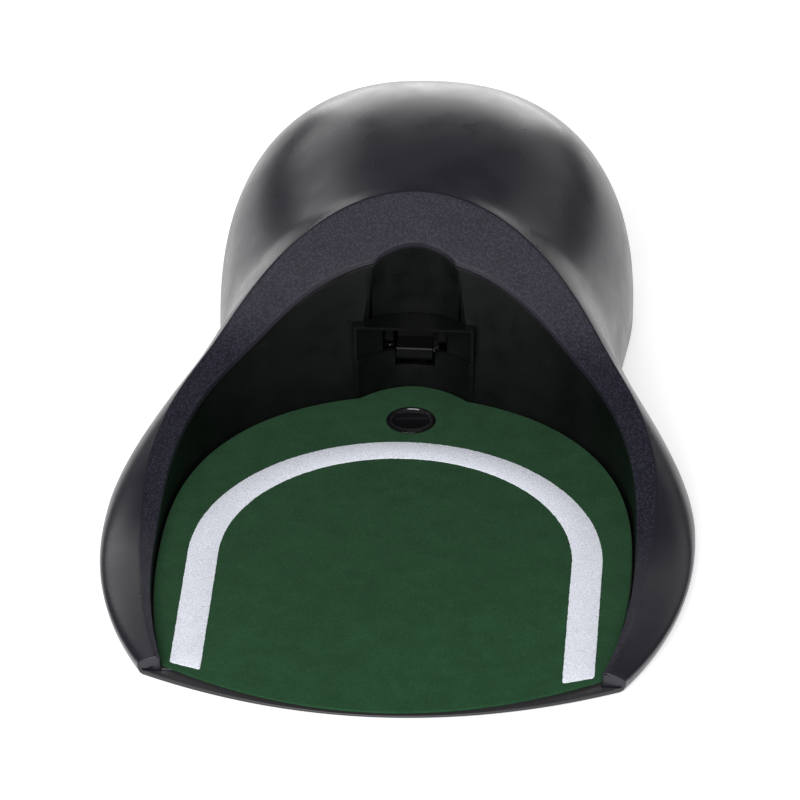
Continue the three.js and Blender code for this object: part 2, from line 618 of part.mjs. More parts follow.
addPiece('second_gear', compound(SECOND, 160, 3.6, 10.2, -10, 10, 14), GEAR_PLASTIC);
addPiece('first_gear', compound(FIRST, 170, 9.6, 15.3, 60, 15.2, 18.6), GEAR_PLASTIC);
const motorShaft = barX(1, ...MOTOR, 14.4, 28, 12);
const motorPinion = join(gear(PINION_TEETH, MOTOR, 240 + halfPitch, 15.2, 18.6), motorShaft);
addPiece('motor_pinion', motorPinion, metal(0xc8b070));

const motorBody = cut(
  join(barX(10, ...MOTOR, 22.4, 46, 24), barX(3, ...MOTOR, 46, 47.6, 12)),
  barX(1.4, ...MOTOR, 20, 30, 12),
);
addPiece('motor', motorBody, metal(0xa8a8aa));
addPiece('cam_shaft', barX(2, ...CAM_CENTRE, -22.6, 22.2, 14), metal(0xb0b0b4));
addPiece('second_shaft', barX(1.5, ...SECOND, -22.6, 22.2, 14), metal(0xb0b0b4));
addPiece('first_shaft', barX(1.5, ...FIRST, -22.6, 22.2, 14), metal(0xb0b0b4));

// Two side plates carry every shaft.
const PLATE_X = 20;
const PLATE_CORNERS = [[31.4, 3.3], [126, 3.3], [126, 46], [118, 56], [66, 56], [44, 60], [31.4, 50]];
function sidePlate(x0, x1) {
  const outline = PLATE_CORNERS.map(([y, z]) => new THREE.Vector2(y, z));
  const holes = [
    barX(1.8, KICKER_Y, KICKER_Z, -30, 30, 14), bore(2.3, CAM_CENTRE), bore(1.8, SECOND), bore(1.8, FIRST),
    barX(3, ...MOTOR, -30, 30, 14),
  ];
  return cut(prismX(outline, x0, x1), ...holes);
}
addPiece('gearbox_side_left', sidePlate(-PLATE_X - 2, -PLATE_X), plastic(0x2a2a2e, 0.5));
addPiece('gearbox_side_right', sidePlate(PLATE_X, PLATE_X + 2), plastic(0x2a2a2e, 0.5));

// ---------------------------------------------------------------- battery box, cells, door, power switch
const BOX = { half: 31.7, front: 131, rear: 190, top: 20.4, wall: 1.5 };
const CELL = { radius: 7.1, z: 11, front: 135.2, rear: 185.4, pitch: 14.9 };   // AA cells, 50.2 long
const CELL_PROFILE = [
  [0, 0], [6.2, 0], [CELL.radius, 0.8], [CELL.radius, 48.4], [6, 49], [2.7, 49], [2.7, 50.2], [0, 50.2],
];

function buildBatteryBox() {
  const outside = box(-BOX.half, BOX.half, BOX.front, BOX.rear, BASE_TOP + GAP, BOX.top);
  const half = BOX.half - BOX.wall;
  return cut(outside, box(-half, half, BOX.front + BOX.wall, BOX.rear - BOX.wall, -5, BOX.top - BOX.wall));
}

addPiece('battery_box', buildBatteryBox(), plastic(0x18181a, 0.6));

// Neighbouring cells lie head to tail.
for (let i = 0; i < 4; i++) {
  const turned = i % 2 === 1;
  const cell = lathe(CELL_PROFILE, 14).rotateX(turned ? Math.PI / 2 : -Math.PI / 2);
  cell.translate((i - 1.5) * CELL.pitch, turned ? CELL.rear : CELL.front, CELL.z);
  addPiece(`cell_${i + 1}`, cell, metal(0x3c5a46, 0.4));
}

const contactHalf = BOX.half - BOX.wall - GAP;
for (const [name, y] of [['contact_front', BOX.front + 1.8], ['contact_rear', BOX.rear - 2.4]]) {
  addPiece(name, box(-contactHalf, contactHalf, y, y + 0.6, 4, 18), metal(0xd0d0d2));
}

const doorHalf = DOOR.half - DOOR_GAP;
const [doorFront, doorRear] = [DOOR.front + DOOR_GAP, DOOR.rear - DOOR_GAP];
const doorBody = box(-doorHalf, doorHalf, doorFront, doorRear, SHELL_BOTTOM, BASE_TOP - 0.2);
const fingerGroove = box(-9, 9, DOOR.front + 3, DOOR.front + 6, 0, SHELL_BOTTOM + 0.8);
addPiece('battery_door', cut(doorBody, fingerGroove), plastic(0x141416, 0.6));

const switchBody = box(SWITCH.x - 9, SWITCH.x + 9, SWITCH.y - 4, SWITCH.y + 4, BASE_TOP + GAP, 9.5);
addPiece('power_switch', switchBody, plastic(0x222226, 0.5));
const slider = box(SWITCH.x - 4.6, SWITCH.x - 0.6, SWITCH.y - 1.6, SWITCH.y + 1.6, 1.3, BASE_TOP - 0.1);
addPiece('switch_slider', slider, plastic(0x303034, 0.4));

export default part;
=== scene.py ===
import json
import math

import bmesh
import bpy
import numpy as np
from mathutils import Matrix, Vector


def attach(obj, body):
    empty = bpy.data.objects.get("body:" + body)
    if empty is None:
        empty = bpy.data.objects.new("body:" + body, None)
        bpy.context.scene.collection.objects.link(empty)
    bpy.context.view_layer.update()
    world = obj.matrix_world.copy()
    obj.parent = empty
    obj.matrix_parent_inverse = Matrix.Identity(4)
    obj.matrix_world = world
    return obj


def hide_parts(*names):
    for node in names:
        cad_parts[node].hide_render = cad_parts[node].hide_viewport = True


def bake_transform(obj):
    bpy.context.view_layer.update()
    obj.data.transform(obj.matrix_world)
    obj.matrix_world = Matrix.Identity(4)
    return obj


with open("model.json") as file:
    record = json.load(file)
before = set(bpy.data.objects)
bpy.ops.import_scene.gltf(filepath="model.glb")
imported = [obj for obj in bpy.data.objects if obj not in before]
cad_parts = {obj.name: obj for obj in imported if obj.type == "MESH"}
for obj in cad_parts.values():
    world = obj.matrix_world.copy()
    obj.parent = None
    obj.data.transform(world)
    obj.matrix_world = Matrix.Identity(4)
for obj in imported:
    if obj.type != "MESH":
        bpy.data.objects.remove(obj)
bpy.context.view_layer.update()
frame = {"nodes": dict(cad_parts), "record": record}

MM = 0.001
SEED = 7
BODIES = frame["record"]["behaviour"]["bodies"]
BODY_OF = {node: body for body, nodes in BODIES.items() for node in nodes}
random = np.random.default_rng(SEED)

# ---------------------------------------------------------------- driving dimensions
# All as in the CAD model, except that its deck is inset by 1.1 and shows more of the gap beside the felt.
FRONT_Y, REAR_Y = -206, 206
SHELL_BOTTOM = 1
WALL, GAP = 2.5, 0.3
HOUSING_FRONT_Y = -181.8
CHEEK_HALF, CHEEK_Y, CHEEK_REACH = 122.5, -77, 168
WAIST_HALF, WAIST_Y, WAIST_POWER = 88, 45, 1.2
DOME_HALF, DOME_Y, DOME_TOP = 93.6, 116, 109
DOME_PLAN_POWER, DOME_PROFILE_POWER, DOME_BULGE = 2.3, 2.2, 0.86
WIDEST_Z, SKIRT_TUCK = 5, 1.2
RIM_HALF, RIM_Y, RIM_TOP_Y, RIM_FRONT_REACH, RIM_ARCH_POWER = 106, -65, 48, 213.7, 1.8
GREEN_HALF, GREEN_Y, GREEN_REAR_REACH, GREEN_FRONT_REACH, GREEN_REAR_POWER = 97.5, -102, 123.5, 174, 2.6
GREEN_INSET, DECK_INSET = 0.8, 0.35
RAMP_GAP_HALF, RAMP_GAP_REAR_Y = 98, -118
WALL_LEAN, LEAN_FROM_Z, COWL_WALL, COWL_BASE = 0.11, 8, 2, 3.3
DECK_SLOPE, DECK_FRONT_Y, DECK_FRONT_Z = 0.0489, -204.6, 1.9
DECK_UNDER_SLOPE, DECK_UNDER_Y = 0.042, -180
FELT_THICKNESS, FELT_GAP = 0.8, 0.1
POCKET_HALF, POCKET_MOUTH_Y, POCKET_REAR_Y, POCKET_TOP_Z = 23.8, 19, 29.8, 48.5
LEDGE_Z, WINDOW_HALF, WINDOW_TOP_Z = 32.2, 14, 47
CHANNEL_RADIUS, CHANNEL_Y = 31, 2
DISH_Y, DISH_RADIUS = 1.8, 10.3
KICKER_Y, KICKER_Z, TAIL_LENGTH, NOSE_RADIUS = 34.6, 43.3, 28, 2.2
BOSSES = [(103, -120), (-103, -120), (98, -8), (-98, -8), (62, 168), (-62, 168)]
BEYOND_FRONT_Y, BEYOND_HALF, BEYOND_TOP_Z = -230, 130, 130      # outside the model, for cutters


# ---------------------------------------------------------------- the shapes everything follows
def mix(a, b, t):
    return a + (b - a) * t


def smooth(a, b, x):
    t = np.clip((x - a) / (b - a), 0, 1)
    return t * t * (3 - 2 * t)


def ease_ramp(x, width):
    """Zero well below x = 0, x well above it, and a bend of the given width between them."""
    return width * np.log1p(np.exp(x / width))


def power(x, exponent):
    return np.power(np.maximum(x, 0), exponent)


def foot_half(y):
    """Half-width of the footprint: cheeks, waist, dome."""
    cheek = CHEEK_HALF * np.sqrt(np.maximum(1 - ((y - CHEEK_Y) / CHEEK_REACH) ** 2, 0))
    t = power((y - CHEEK_Y) / (WAIST_Y - CHEEK_Y), WAIST_POWER)
    waist = mix(CHEEK_HALF, WAIST_HALF, 0.5 - 0.5 * np.cos(np.pi * t))
    flank = mix(WAIST_HALF, DOME_HALF, smooth(WAIST_Y, DOME_Y, y))
    rounding = 1 - power((y - DOME_Y) / (REAR_Y - DOME_Y), DOME_PLAN_POWER)
    dome = DOME_HALF * power(rounding, 1 / DOME_PLAN_POWER)
    return np.select([y <= CHEEK_Y, y <= WAIST_Y, y <= DOME_Y], [cheek, waist, flank], dome)


def rim_height(y):
    """Height of the rim: a gentle rise along the cheeks, steeper past them, and steeper again in the hood."""
    return 9 + 0.045 * (y + 184) + 0.33 * ease_ramp(y + 90, 8) + 0.76 * ease_ramp(y - 2, 5)


def rim_half(y):
    front = RIM_HALF * np.sqrt(np.maximum(1 - ((y - RIM_Y) / RIM_FRONT_REACH) ** 2, 0))
    narrowing = power((y - RIM_Y) / (RIM_TOP_Y - RIM_Y), RIM_ARCH_POWER)
    arch = RIM_HALF * np.sqrt(np.maximum(1 - narrowing, 0))
    return np.where(y <= RIM_Y, front, arch)


def ridge_height(y):
    """Height of the crest behind the rim. In front of the dome's top it is up to 2.2 above the CAD's."""
    climb = np.clip((y - RIM_TOP_Y) / (DOME_Y - RIM_TOP_Y), 0, 1)
    rise = mix(rim_height(RIM_TOP_Y), DOME_TOP, np.sin(climb * np.pi / 2))
    drop = 1 - power((y - DOME_Y) / (REAR_Y - DOME_Y), DOME_PROFILE_POWER)
    fall = power(drop, 1 / DOME_PROFILE_POWER)
    return np.where(y <= DOME_Y, rise, WIDEST_Z + (DOME_TOP - WIDEST_Z) * fall)


def crest_height(y):
    return np.where(y < RIM_TOP_Y, rim_height(np.minimum(y, RIM_TOP_Y)), ridge_height(y))


def widest_height(y):
    return np.minimum(WIDEST_Z, (crest_height(y) + SHELL_BOTTOM) / 2)


def shell_height(x, y):
    """Height of the shell's outside over a point of the plan.

    Each cross-section is an ellipse that is cut off at the rim and squarer over the dome.
    """
    half = np.maximum(foot_half(y), 0.01)
    bulge = mix(1, DOME_BULGE, smooth(RIM_TOP_Y, DOME_Y, y))
    edge = np.where(y < RIM_TOP_Y, np.minimum(rim_half(y) / half, 1), 0)
    across = power(np.minimum(np.abs(x) / half, 1), 1 / bulge)
    rise = np.sqrt(np.maximum(1 - across**2, 0)) / np.maximum(np.sqrt(1 - edge**2), 1e-6)
    base = widest_height(y)
    return base + (crest_height(y) - base) * power(rise, bulge)


def wall_growth(z):
    """How much wider the mouth is at z than the green, as its wall leans out."""
    return WALL_LEAN * (z - LEAN_FROM_Z) + 0.1


def green_half(y, grow):
    front = (GREEN_HALF + grow) * np.sqrt(np.maximum(1 - ((y - GREEN_Y) / GREEN_FRONT_REACH) ** 2, 0))
    narrowing = power((y - GREEN_Y) / (GREEN_REAR_REACH + grow), GREEN_REAR_POWER)
    rear = (GREEN_HALF + grow) * np.sqrt(np.maximum(1 - narrowing, 0))
    return np.where(y <= GREEN_Y, front, rear)


def deck_top(y):
    return DECK_FRONT_Z + DECK_SLOPE * (y - DECK_FRONT_Y)


def felt_top(y):
    return deck_top(y) + FELT_GAP + FELT_THICKNESS


# ---------------------------------------------------------------- mesh tools
def new_object(name, vertices, faces):
    mesh = bpy.data.meshes.new(name)
    mesh.from_pydata((np.asarray(vertices, float) * MM).tolist(), [], faces)
    made = bpy.data.objects.new(name, mesh)
    bpy.context.scene.collection.objects.link(made)
    return made


def tidy_mesh(made, merge=1e-7):
    """Joins points that are closer than merge, in metres, and turns the faces outwards."""
    work = bmesh.new()
    work.from_mesh(made.data)
    bmesh.ops.remove_doubles(work, verts=work.verts, dist=merge)
    bmesh.ops.recalc_face_normals(work, faces=work.faces)
    work.to_mesh(made.data)
    work.free()
    return made


def grid_faces(rows, columns, closed_columns):
    """Four-sided faces over points that are numbered row by row."""
    last = columns if closed_columns else columns - 1
    faces = []
    for i in range(rows - 1):
        row, following = i * columns, (i + 1) * columns
        for j in range(last):
            beside = (j + 1) % columns
            faces.append((row + j, row + beside, following + beside, following + j))
    return faces


def loft(name, loops):
    """A closed solid through loops of equal length, with a flat face at both ends."""
    loops = np.asarray(loops, float)
    rows, columns = loops.shape[:2]
    faces = grid_faces(rows, columns, True)
    faces += [tuple(reversed(range(columns))), tuple(range((rows - 1) * columns, rows * columns))]
    return tidy_mesh(new_object(name, loops.reshape(-1, 3), faces))


def raised(outline, z):
    """A flat outline lifted to z, which is one height or one for each point."""
    outline = np.asarray(outline, float)
    return np.column_stack([outline, np.broadcast_to(z, len(outline))])


def prism(outline, z0, z1):
    return loft("prism", [raised(outline, z0), raised(outline, z1)])


def prism_x(outline, x0, x1):
    """A prism along X from an outline of (y, z)."""
    outline = np.asarray(outline, float)
    ends = [np.column_stack([np.full(len(outline), x), outline]) for x in (x0, x1)]
    return loft("prism_x", ends)


def block(x0, x1, y0, y1, z0, z1):
    return prism([(x0, y0), (x1, y0), (x1, y1), (x0, y1)], z0, z1)


def circle(radius, x, y, sides):
    a = np.linspace(0, 2 * np.pi, sides, endpoint=False)
    return np.column_stack([x + radius * np.cos(a), y + radius * np.sin(a)])


def bar_z(radius, x, y, z0, z1, sides=64):
    return prism(circle(radius, x, y, sides), z0, z1)


def bar_x(radius, y, z, x0, x1, sides=64):
    return prism_x(circle(radius, y, z, sides), x0, x1)


def lathe(name, profile, sides=64):
    """A closed solid turned about Z from a profile of (radius, height) that starts and ends on the axis."""
    profile = np.asarray(profile, float)
    a = np.linspace(0, 2 * np.pi, sides, endpoint=False)
    rings = [np.column_stack([r * np.cos(a), r * np.sin(a), np.full(sides, z)]) for r, z in profile]
    turned = new_object(name, np.concatenate(rings), grid_faces(len(profile), sides, True))
    return tidy_mesh(turned, 1e-8)


def rounded(profile, radius, steps=4):
    """The open line of points with each inner corner replaced by a short curve."""
    profile = [np.asarray(p, float) for p in profile]
    out = [profile[0]]
    for before, corner, after in zip(profile, profile[1:], profile[2:]):
        to_before, to_after = before - corner, after - corner
        reach = min(radius, 0.45 * np.linalg.norm(to_before), 0.45 * np.linalg.norm(to_after))
        start = corner + to_before / np.linalg.norm(to_before) * reach
        end = corner + to_after / np.linalg.norm(to_after) * reach
        for t in np.linspace(0, 1, steps + 1):
            out.append((1 - t) ** 2 * start + 2 * t * (1 - t) * corner + t * t * end)
    return [*out, profile[-1]]


def rounded_loop(outline, radius, steps=4):
    outline = [tuple(p) for p in outline]
    return rounded([outline[-1], *outline, outline[0]], radius, steps)[1:-1]


def move(made, x=0.0, y=0.0, z=0.0):
    made.data.transform(Matrix.Translation(Vector((x, y, z)) * MM))
    return made


def combine(base, operation, *tools):
    """Cuts the tools out of base, joins them to it, or keeps what they share."""
    for tool in tools:
        modifier = base.modifiers.new(operation, "BOOLEAN")
        modifier.operation = operation
        modifier.solver = "EXACT"
        modifier.object = tool
    graph = bpy.context.evaluated_depsgraph_get()
    result = bpy.data.meshes.new_from_object(base.evaluated_get(graph))
    base.modifiers.clear()
    base.data = result
    for tool in tools:
        bpy.data.objects.remove(tool)
    return base


def cut(base, *tools):
    return combine(base, "DIFFERENCE", *tools)


def join(base, *tools):
    return combine(base, "UNION", *tools)


def bevel(made, width, angle=40):
    """Rounds the edges that are sharper than angle, in degrees."""
    modifier = made.modifiers.new("edges", "BEVEL")
    modifier.width = width * MM
    modifier.segments = 2
    modifier.limit_method = "ANGLE"
    modifier.angle_limit = math.radians(angle)
    modifier.harden_normals = False
    weighted = made.modifiers.new("normals", "WEIGHTED_NORMAL")
    weighted.keep_sharp = True


def shade(made, sharp):
    made.data.shade_smooth()
    made.data.set_sharp_from_angle(angle=math.radians(sharp))


def finish_piece(made, name, nodes, slot, *materials, sharp=35, bends=None):
    """Names the piece and gives it its materials. It rides one body, or, when bends is given, stays in place
    with its transform applied.
    """
    made.name = name
    made.data.name = name
    for material in materials:
        made.data.materials.append(material)
    shade(made, sharp)
    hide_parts(*nodes)
    if bends:
        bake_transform(made)
    else:
        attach(made, BODY_OF[nodes[0]])
    return made


# ---------------------------------------------------------------- materials
NOISE_SPAN = (0.3, 0.7)             # nearly all of a noise's values are between these


class Surface:
    """A Principled material with the few texture nodes that its look is made of."""

    def __init__(self, name, color, roughness, metallic=0.0, **sockets):
        self.material = bpy.data.materials.new(name)
        self.material.use_nodes = True
        self.tree = self.material.node_tree
        self.shader = self.tree.nodes["Principled BSDF"]
        self.coordinates = self.add("ShaderNodeTexCoord").outputs["Object"]
        self.material.diffuse_color = (*color, 1)
        self.set("Base Color", (*color, 1))
        self.set("Roughness", roughness)
        self.set("Metallic", metallic)
        for socket, value in sockets.items():
            self.set(socket.replace("_", " "), value)

    def add(self, kind, **settings):
        node = self.tree.nodes.new(kind)
        for key, value in settings.items():
            setattr(node, key, value)
        return node

    def set(self, socket, value):
        self.shader.inputs[socket].default_value = value

    def link(self, output, target):
        self.tree.links.new(output, target)

    def stretched(self, scale):
        mapping = self.add("ShaderNodeMapping")
        mapping.inputs["Scale"].default_value = scale
        self.link(self.coordinates, mapping.inputs["Vector"])
        return mapping.outputs["Vector"]

    def noise(self, size, detail=3.0, rough=0.55, stretch=None):
        """Noise whose blotches are about size millimetres across."""
        node = self.add("ShaderNodeTexNoise")
        node.inputs["Scale"].default_value = 1 / (size * MM)
        node.inputs["Detail"].default_value = detail
        node.inputs["Roughness"].default_value = rough
        self.link(self.stretched(stretch) if stretch else self.coordinates, node.inputs["Vector"])
        return node.outputs["Fac"]

    def cells(self, size, smoothness=0.4):
        node = self.add("ShaderNodeTexVoronoi", feature="SMOOTH_F1")
        node.inputs["Scale"].default_value = 1 / (size * MM)
        node.inputs["Smoothness"].default_value = smoothness
        self.link(self.coordinates, node.inputs["Vector"])
        return node.outputs["Distance"]

    def ramp(self, factor, *stops):
        node = self.add("ShaderNodeValToRGB")
        elements = node.color_ramp.elements
        while len(elements) < len(stops):
            elements.new(0.5)
        for element, (place, color) in zip(elements, stops):
            element.position = place
            element.color = (*color, 1) if hasattr(color, "__len__") else (color, color, color, 1)
        self.link(factor, node.inputs["Fac"])
        return node.outputs["Color"]

    def blend(self, factor, a, b, how="MIX"):
        node = self.add("ShaderNodeMix", data_type="RGBA", blend_type=how)
        for value, index in ((factor, 0), (a, 6), (b, 7)):
            if hasattr(value, "links"):
                self.link(value, node.inputs[index])
            else:
                node.inputs[index].default_value = value
        return node.outputs[2]

    def color(self, output):
        self.link(output, self.shader.inputs["Base Color"])
        return self

    def rough(self, factor, low, high):
        node = self.add("ShaderNodeMapRange")
        spans = zip(("From Min", "From Max", "To Min", "To Max"), (*NOISE_SPAN, low, high))
        for socket, value in spans:
            node.inputs[socket].default_value = value
        self.link(factor, node.inputs["Value"])
        self.link(node.outputs["Result"], self.shader.inputs["Roughness"])
        return self

    def bump(self, *layers):
        """Each layer is (height, strength, depth in millimetres)."""
        normal = None
        for height, strength, depth in layers:
            node = self.add("ShaderNodeBump")
            node.inputs["Strength"].default_value = strength
            node.inputs["Distance"].default_value = depth * MM
            self.link(height, node.inputs["Height"])
            if normal is not None:
                self.link(normal, node.inputs["Normal"])
            normal = node.outputs["Normal"]
        self.link(normal, self.shader.inputs["Normal"])
        return self


def moulded(name, color, lighter, roughness, grain, depth, **sockets):
    """Moulded plastic: a fine pebbled grain, and faint clouding that the roughness follows."""
    surface = Surface(name, color, roughness, **sockets)
    pebbles = surface.cells(grain)
    cloud = surface.noise(18, 2)
    surface.color(surface.ramp(surface.noise(grain * 1.6, 4), (0.3, color), (0.75, lighter)))
    surface.rough(cloud, roughness - 0.04, roughness + 0.05)
    surface.bump((pebbles, 0.55, depth), (surface.noise(grain * 0.45, 2), 0.3, depth * 0.4))
    return surface.material


def pebbled(name, dark, light, roughness, grain, depth, **sockets):
    """Deeply grained plastic: raised pebbles, with painted shade darkening the seams between them and painted
    light on the pebble tops and on the fine grain's raised bits.
    """
    surface = Surface(name, light, roughness, **sockets)
    pebbles = surface.cells(grain, 0.25)
    fine = surface.noise(grain * 0.6, 3)
    # painted shade and light: the pebbles' seams darker and their tops lighter, following their bump
    painted_seam_shade = surface.ramp(pebbles, (0.12, light), (0.6, dark))
    # painted light and shade: the fine noise that also bumps the grain lightens its raised bits and darkens
    # its hollows
    painted_grain_shade = surface.ramp(fine, (0.35, 0.7), (0.65, 1.25))
    surface.color(surface.blend(1.0, painted_seam_shade, painted_grain_shade, "MULTIPLY"))
    surface.rough(surface.noise(14, 2), roughness - 0.05, roughness + 0.06)
    surface.bump((pebbles, -0.9, depth), (fine, 0.5, depth * 0.4))
    return surface.material


def polished(name, color, roughness, **sockets):
    """Smooth plastic with faint handling marks."""
    surface = Surface(name, color, roughness, **sockets)
    marks = surface.noise(9, 5, 0.6, (1, 0.35, 1))
    surface.rough(marks, roughness * 0.7, roughness * 1.5)
    lighter = [c * 1.35 + 0.001 for c in color]
    surface.color(surface.ramp(surface.noise(25, 2), (0.35, color), (0.7, lighter)))
    surface.bump((surface.noise(1.4, 3), 0.12, 0.02), (surface.noise(14, 2), 0.2, 0.05))
    return surface.material


def drawn_metal(name, color, roughness, stretch, grain=0.5):
    """Metal with fine lines along one direction."""
    surface = Surface(name, color, roughness, metallic=1.0)
    lines = surface.noise(grain, 4, 0.6, stretch)
    surface.rough(lines, roughness * 0.75, roughness * 1.4)
    darker = [c * 0.82 for c in color]
    surface.color(surface.ramp(surface.noise(6, 3), (0.3, darker), (0.7, color)))
    surface.bump((lines, 0.25, 0.015), (surface.noise(3, 2), 0.15, 0.02))
    return surface.material


def flocked(name, dark, light, sparse, fibre, sheen):
    """Flock: short fibres standing on end, in patches that lean different ways."""
    surface = Surface(name, light, 0.95, Sheen_Weight=sheen, Sheen_Roughness=0.55, Specular_IOR_Level=0.05)
    lay = surface.ramp(surface.noise(11, 4, 0.6), (0.32, 0.0), (0.7, 1.0))
    patches = surface.blend(lay, (*dark, 1), (*light, 1))
    fibres = surface.noise(fibre, 3, 0.7)
    speckle = surface.ramp(fibres, (0.34, 0.72), (0.66, 1.28))
    base = surface.blend(1.0, patches, speckle, "MULTIPLY")
    flecks = surface.ramp(surface.noise(fibre * 2.3, 1), (0.67, 0.0), (0.75, 0.55))
    surface.color(surface.blend(flecks, base, (*sparse, 1)))
    surface.bump((fibres, 0.8, 0.12), (surface.noise(2.2, 3), 0.35, 0.12))
    return surface.material


housing_black = moulded("housing_black", (0.0085, 0.0075, 0.0125), (0.013, 0.0115, 0.019), 0.29, 0.5, 0.01)
rim_black = pebbled("rim_grained_black", (0.01, 0.0097, 0.016), (0.03, 0.029, 0.046), 0.5, 1.0, 0.16,
                    Specular_IOR_Level=0.2)
deck_black = moulded("deck_black", (0.016, 0.0145, 0.0165), (0.024, 0.022, 0.025), 0.4, 0.5, 0.02)
base_black = moulded("base_black", (0.013, 0.013, 0.015), (0.022, 0.022, 0.024), 0.55, 0.7, 0.05)
frame_grey = moulded("frame_grey", (0.04, 0.04, 0.045), (0.055, 0.055, 0.06), 0.5, 0.8, 0.03)
switch_black = moulded("switch_black", (0.02, 0.02, 0.024), (0.03, 0.03, 0.034), 0.45, 0.5, 0.02)
cowl_black = polished("cowl_black", (0.0024, 0.003, 0.0027), 0.28, Specular_IOR_Level=0.17)
dish_black = polished("dish_black", (0.005, 0.005, 0.006), 0.1, Coat_Weight=0.5, Coat_Roughness=0.06)
kicker_black = polished("kicker_black", (0.003, 0.003, 0.0034), 0.3, Specular_IOR_Level=0.14)
gear_grey = polished("gear_grey", (0.03, 0.03, 0.032), 0.38)
steel = drawn_metal("zinc_steel", (0.55, 0.55, 0.57), 0.3, (1, 1, 12))
spring_steel = drawn_metal("spring_steel", (0.5, 0.5, 0.51), 0.28, (8, 8, 1), 0.3)
shaft_steel = drawn_metal("shaft_steel", (0.6, 0.6, 0.61), 0.22, (1, 20, 20), 0.6)
motor_steel = drawn_metal("motor_steel", (0.52, 0.52, 0.54), 0.34, (20, 1, 1), 0.6)
nickel = drawn_metal("nickel_strip", (0.62, 0.61, 0.58), 0.25, (10, 1, 1), 0.5)
brass = drawn_metal("brass_turned", (0.66, 0.48, 0.2), 0.25, (20, 1, 1), 0.5)
felt_green = flocked("felt_green", (0.0148, 0.052, 0.022), (0.0192, 0.0662, 0.0286), (0.03, 0.085, 0.042),
                     0.55, 0.03)
line_white = flocked("line_white", (0.74, 0.765, 0.84), (0.77, 0.795, 0.87), (0.68, 0.71, 0.78),
                     0.5, 0.02)


def rubber_material():
    surface = Surface("rubber_black", (0.015, 0.015, 0.016), 0.85, Specular_IOR_Level=0.3)
    dark, light = (0.012, 0.012, 0.013), (0.03, 0.029, 0.028)
    surface.color(surface.ramp(surface.noise(2.5, 4), (0.3, dark), (0.75, light)))
    surface.rough(surface.noise(4, 3), 0.75, 0.95)
    surface.bump((surface.noise(0.5, 3), 0.4, 0.04), (surface.cells(1.1), 0.3, 0.03))
    return surface.material


def cell_material():
    """A battery jacket: dark green print under a clear film."""
    surface = Surface("cell_jacket", (0.03, 0.09, 0.05), 0.3, Coat_Weight=0.6, Coat_Roughness=0.12)
    dark, light = (0.022, 0.07, 0.038), (0.035, 0.1, 0.058)
    surface.color(surface.ramp(surface.noise(7, 3), (0.3, dark), (0.75, light)))
    surface.rough(surface.noise(5, 4), 0.24, 0.42)
    surface.bump((surface.noise(2, 3), 0.15, 0.02))
    return surface.material


rubber_black = rubber_material()
cell_jacket = cell_material()

# ---------------------------------------------------------------- housing
# The plan is walked by rays from the middle line: level ones in front of FAN_Y, and a fan behind it.
FAN_Y, RAY_REACH, HALVINGS = -60, 330, 50
FRONT_ROUND = 0.5           # rounding of the cheeks' front ends
FRONT_SOLID_Y = -150        # the wall thins from here to the front, where the cheeks close up
THINNEST_SHARE = 0.08       # of the wall's thickness, at the front
FLAT_WALL = WALL - 0.1      # the solidified thickness, so that the wall ends inside WALL
EDGE_ROUND, INNER_ROUND = 0.55, 0.25
EDGE_STEPS, END_STEPS = 4, 5
SKIRT_ROWS, SIDE_ROWS, RIM_ROWS, WALL_ROWS = 6, 66, 12, 5
COWL_FRONT_Y = HOUSING_FRONT_Y + WALL + 0.4


def march(inside, origin_y, dx, dy):
    """How far along each ray the plan point stops being inside."""
    near, far = np.zeros_like(dx), np.full_like(dx, RAY_REACH)
    for _ in range(HALVINGS):
        middle = (near + far) / 2
        hit = inside(dx * middle, origin_y + dy * middle) > 0
        near, far = np.where(hit, middle, near), np.where(hit, far, middle)
    return (near + far) / 2


def in_mouth(x, y):
    """Positive over the hood's mouth: the green and the round channel above the dish."""
    grow = wall_growth(rim_height(np.minimum(y, RIM_TOP_Y)))
    return np.maximum(green_half(y, grow) - np.abs(x), CHANNEL_RADIUS - np.hypot(x, y - CHANNEL_Y))


def bezier(start, corner, end, steps):
    """Rows of points between start and end, on the curve that leans towards corner."""
    places = np.linspace(0, 1, steps + 2)[1:-1]
    return [(1 - t) ** 2 * start + 2 * t * (1 - t) * corner + t * t * end for t in places]


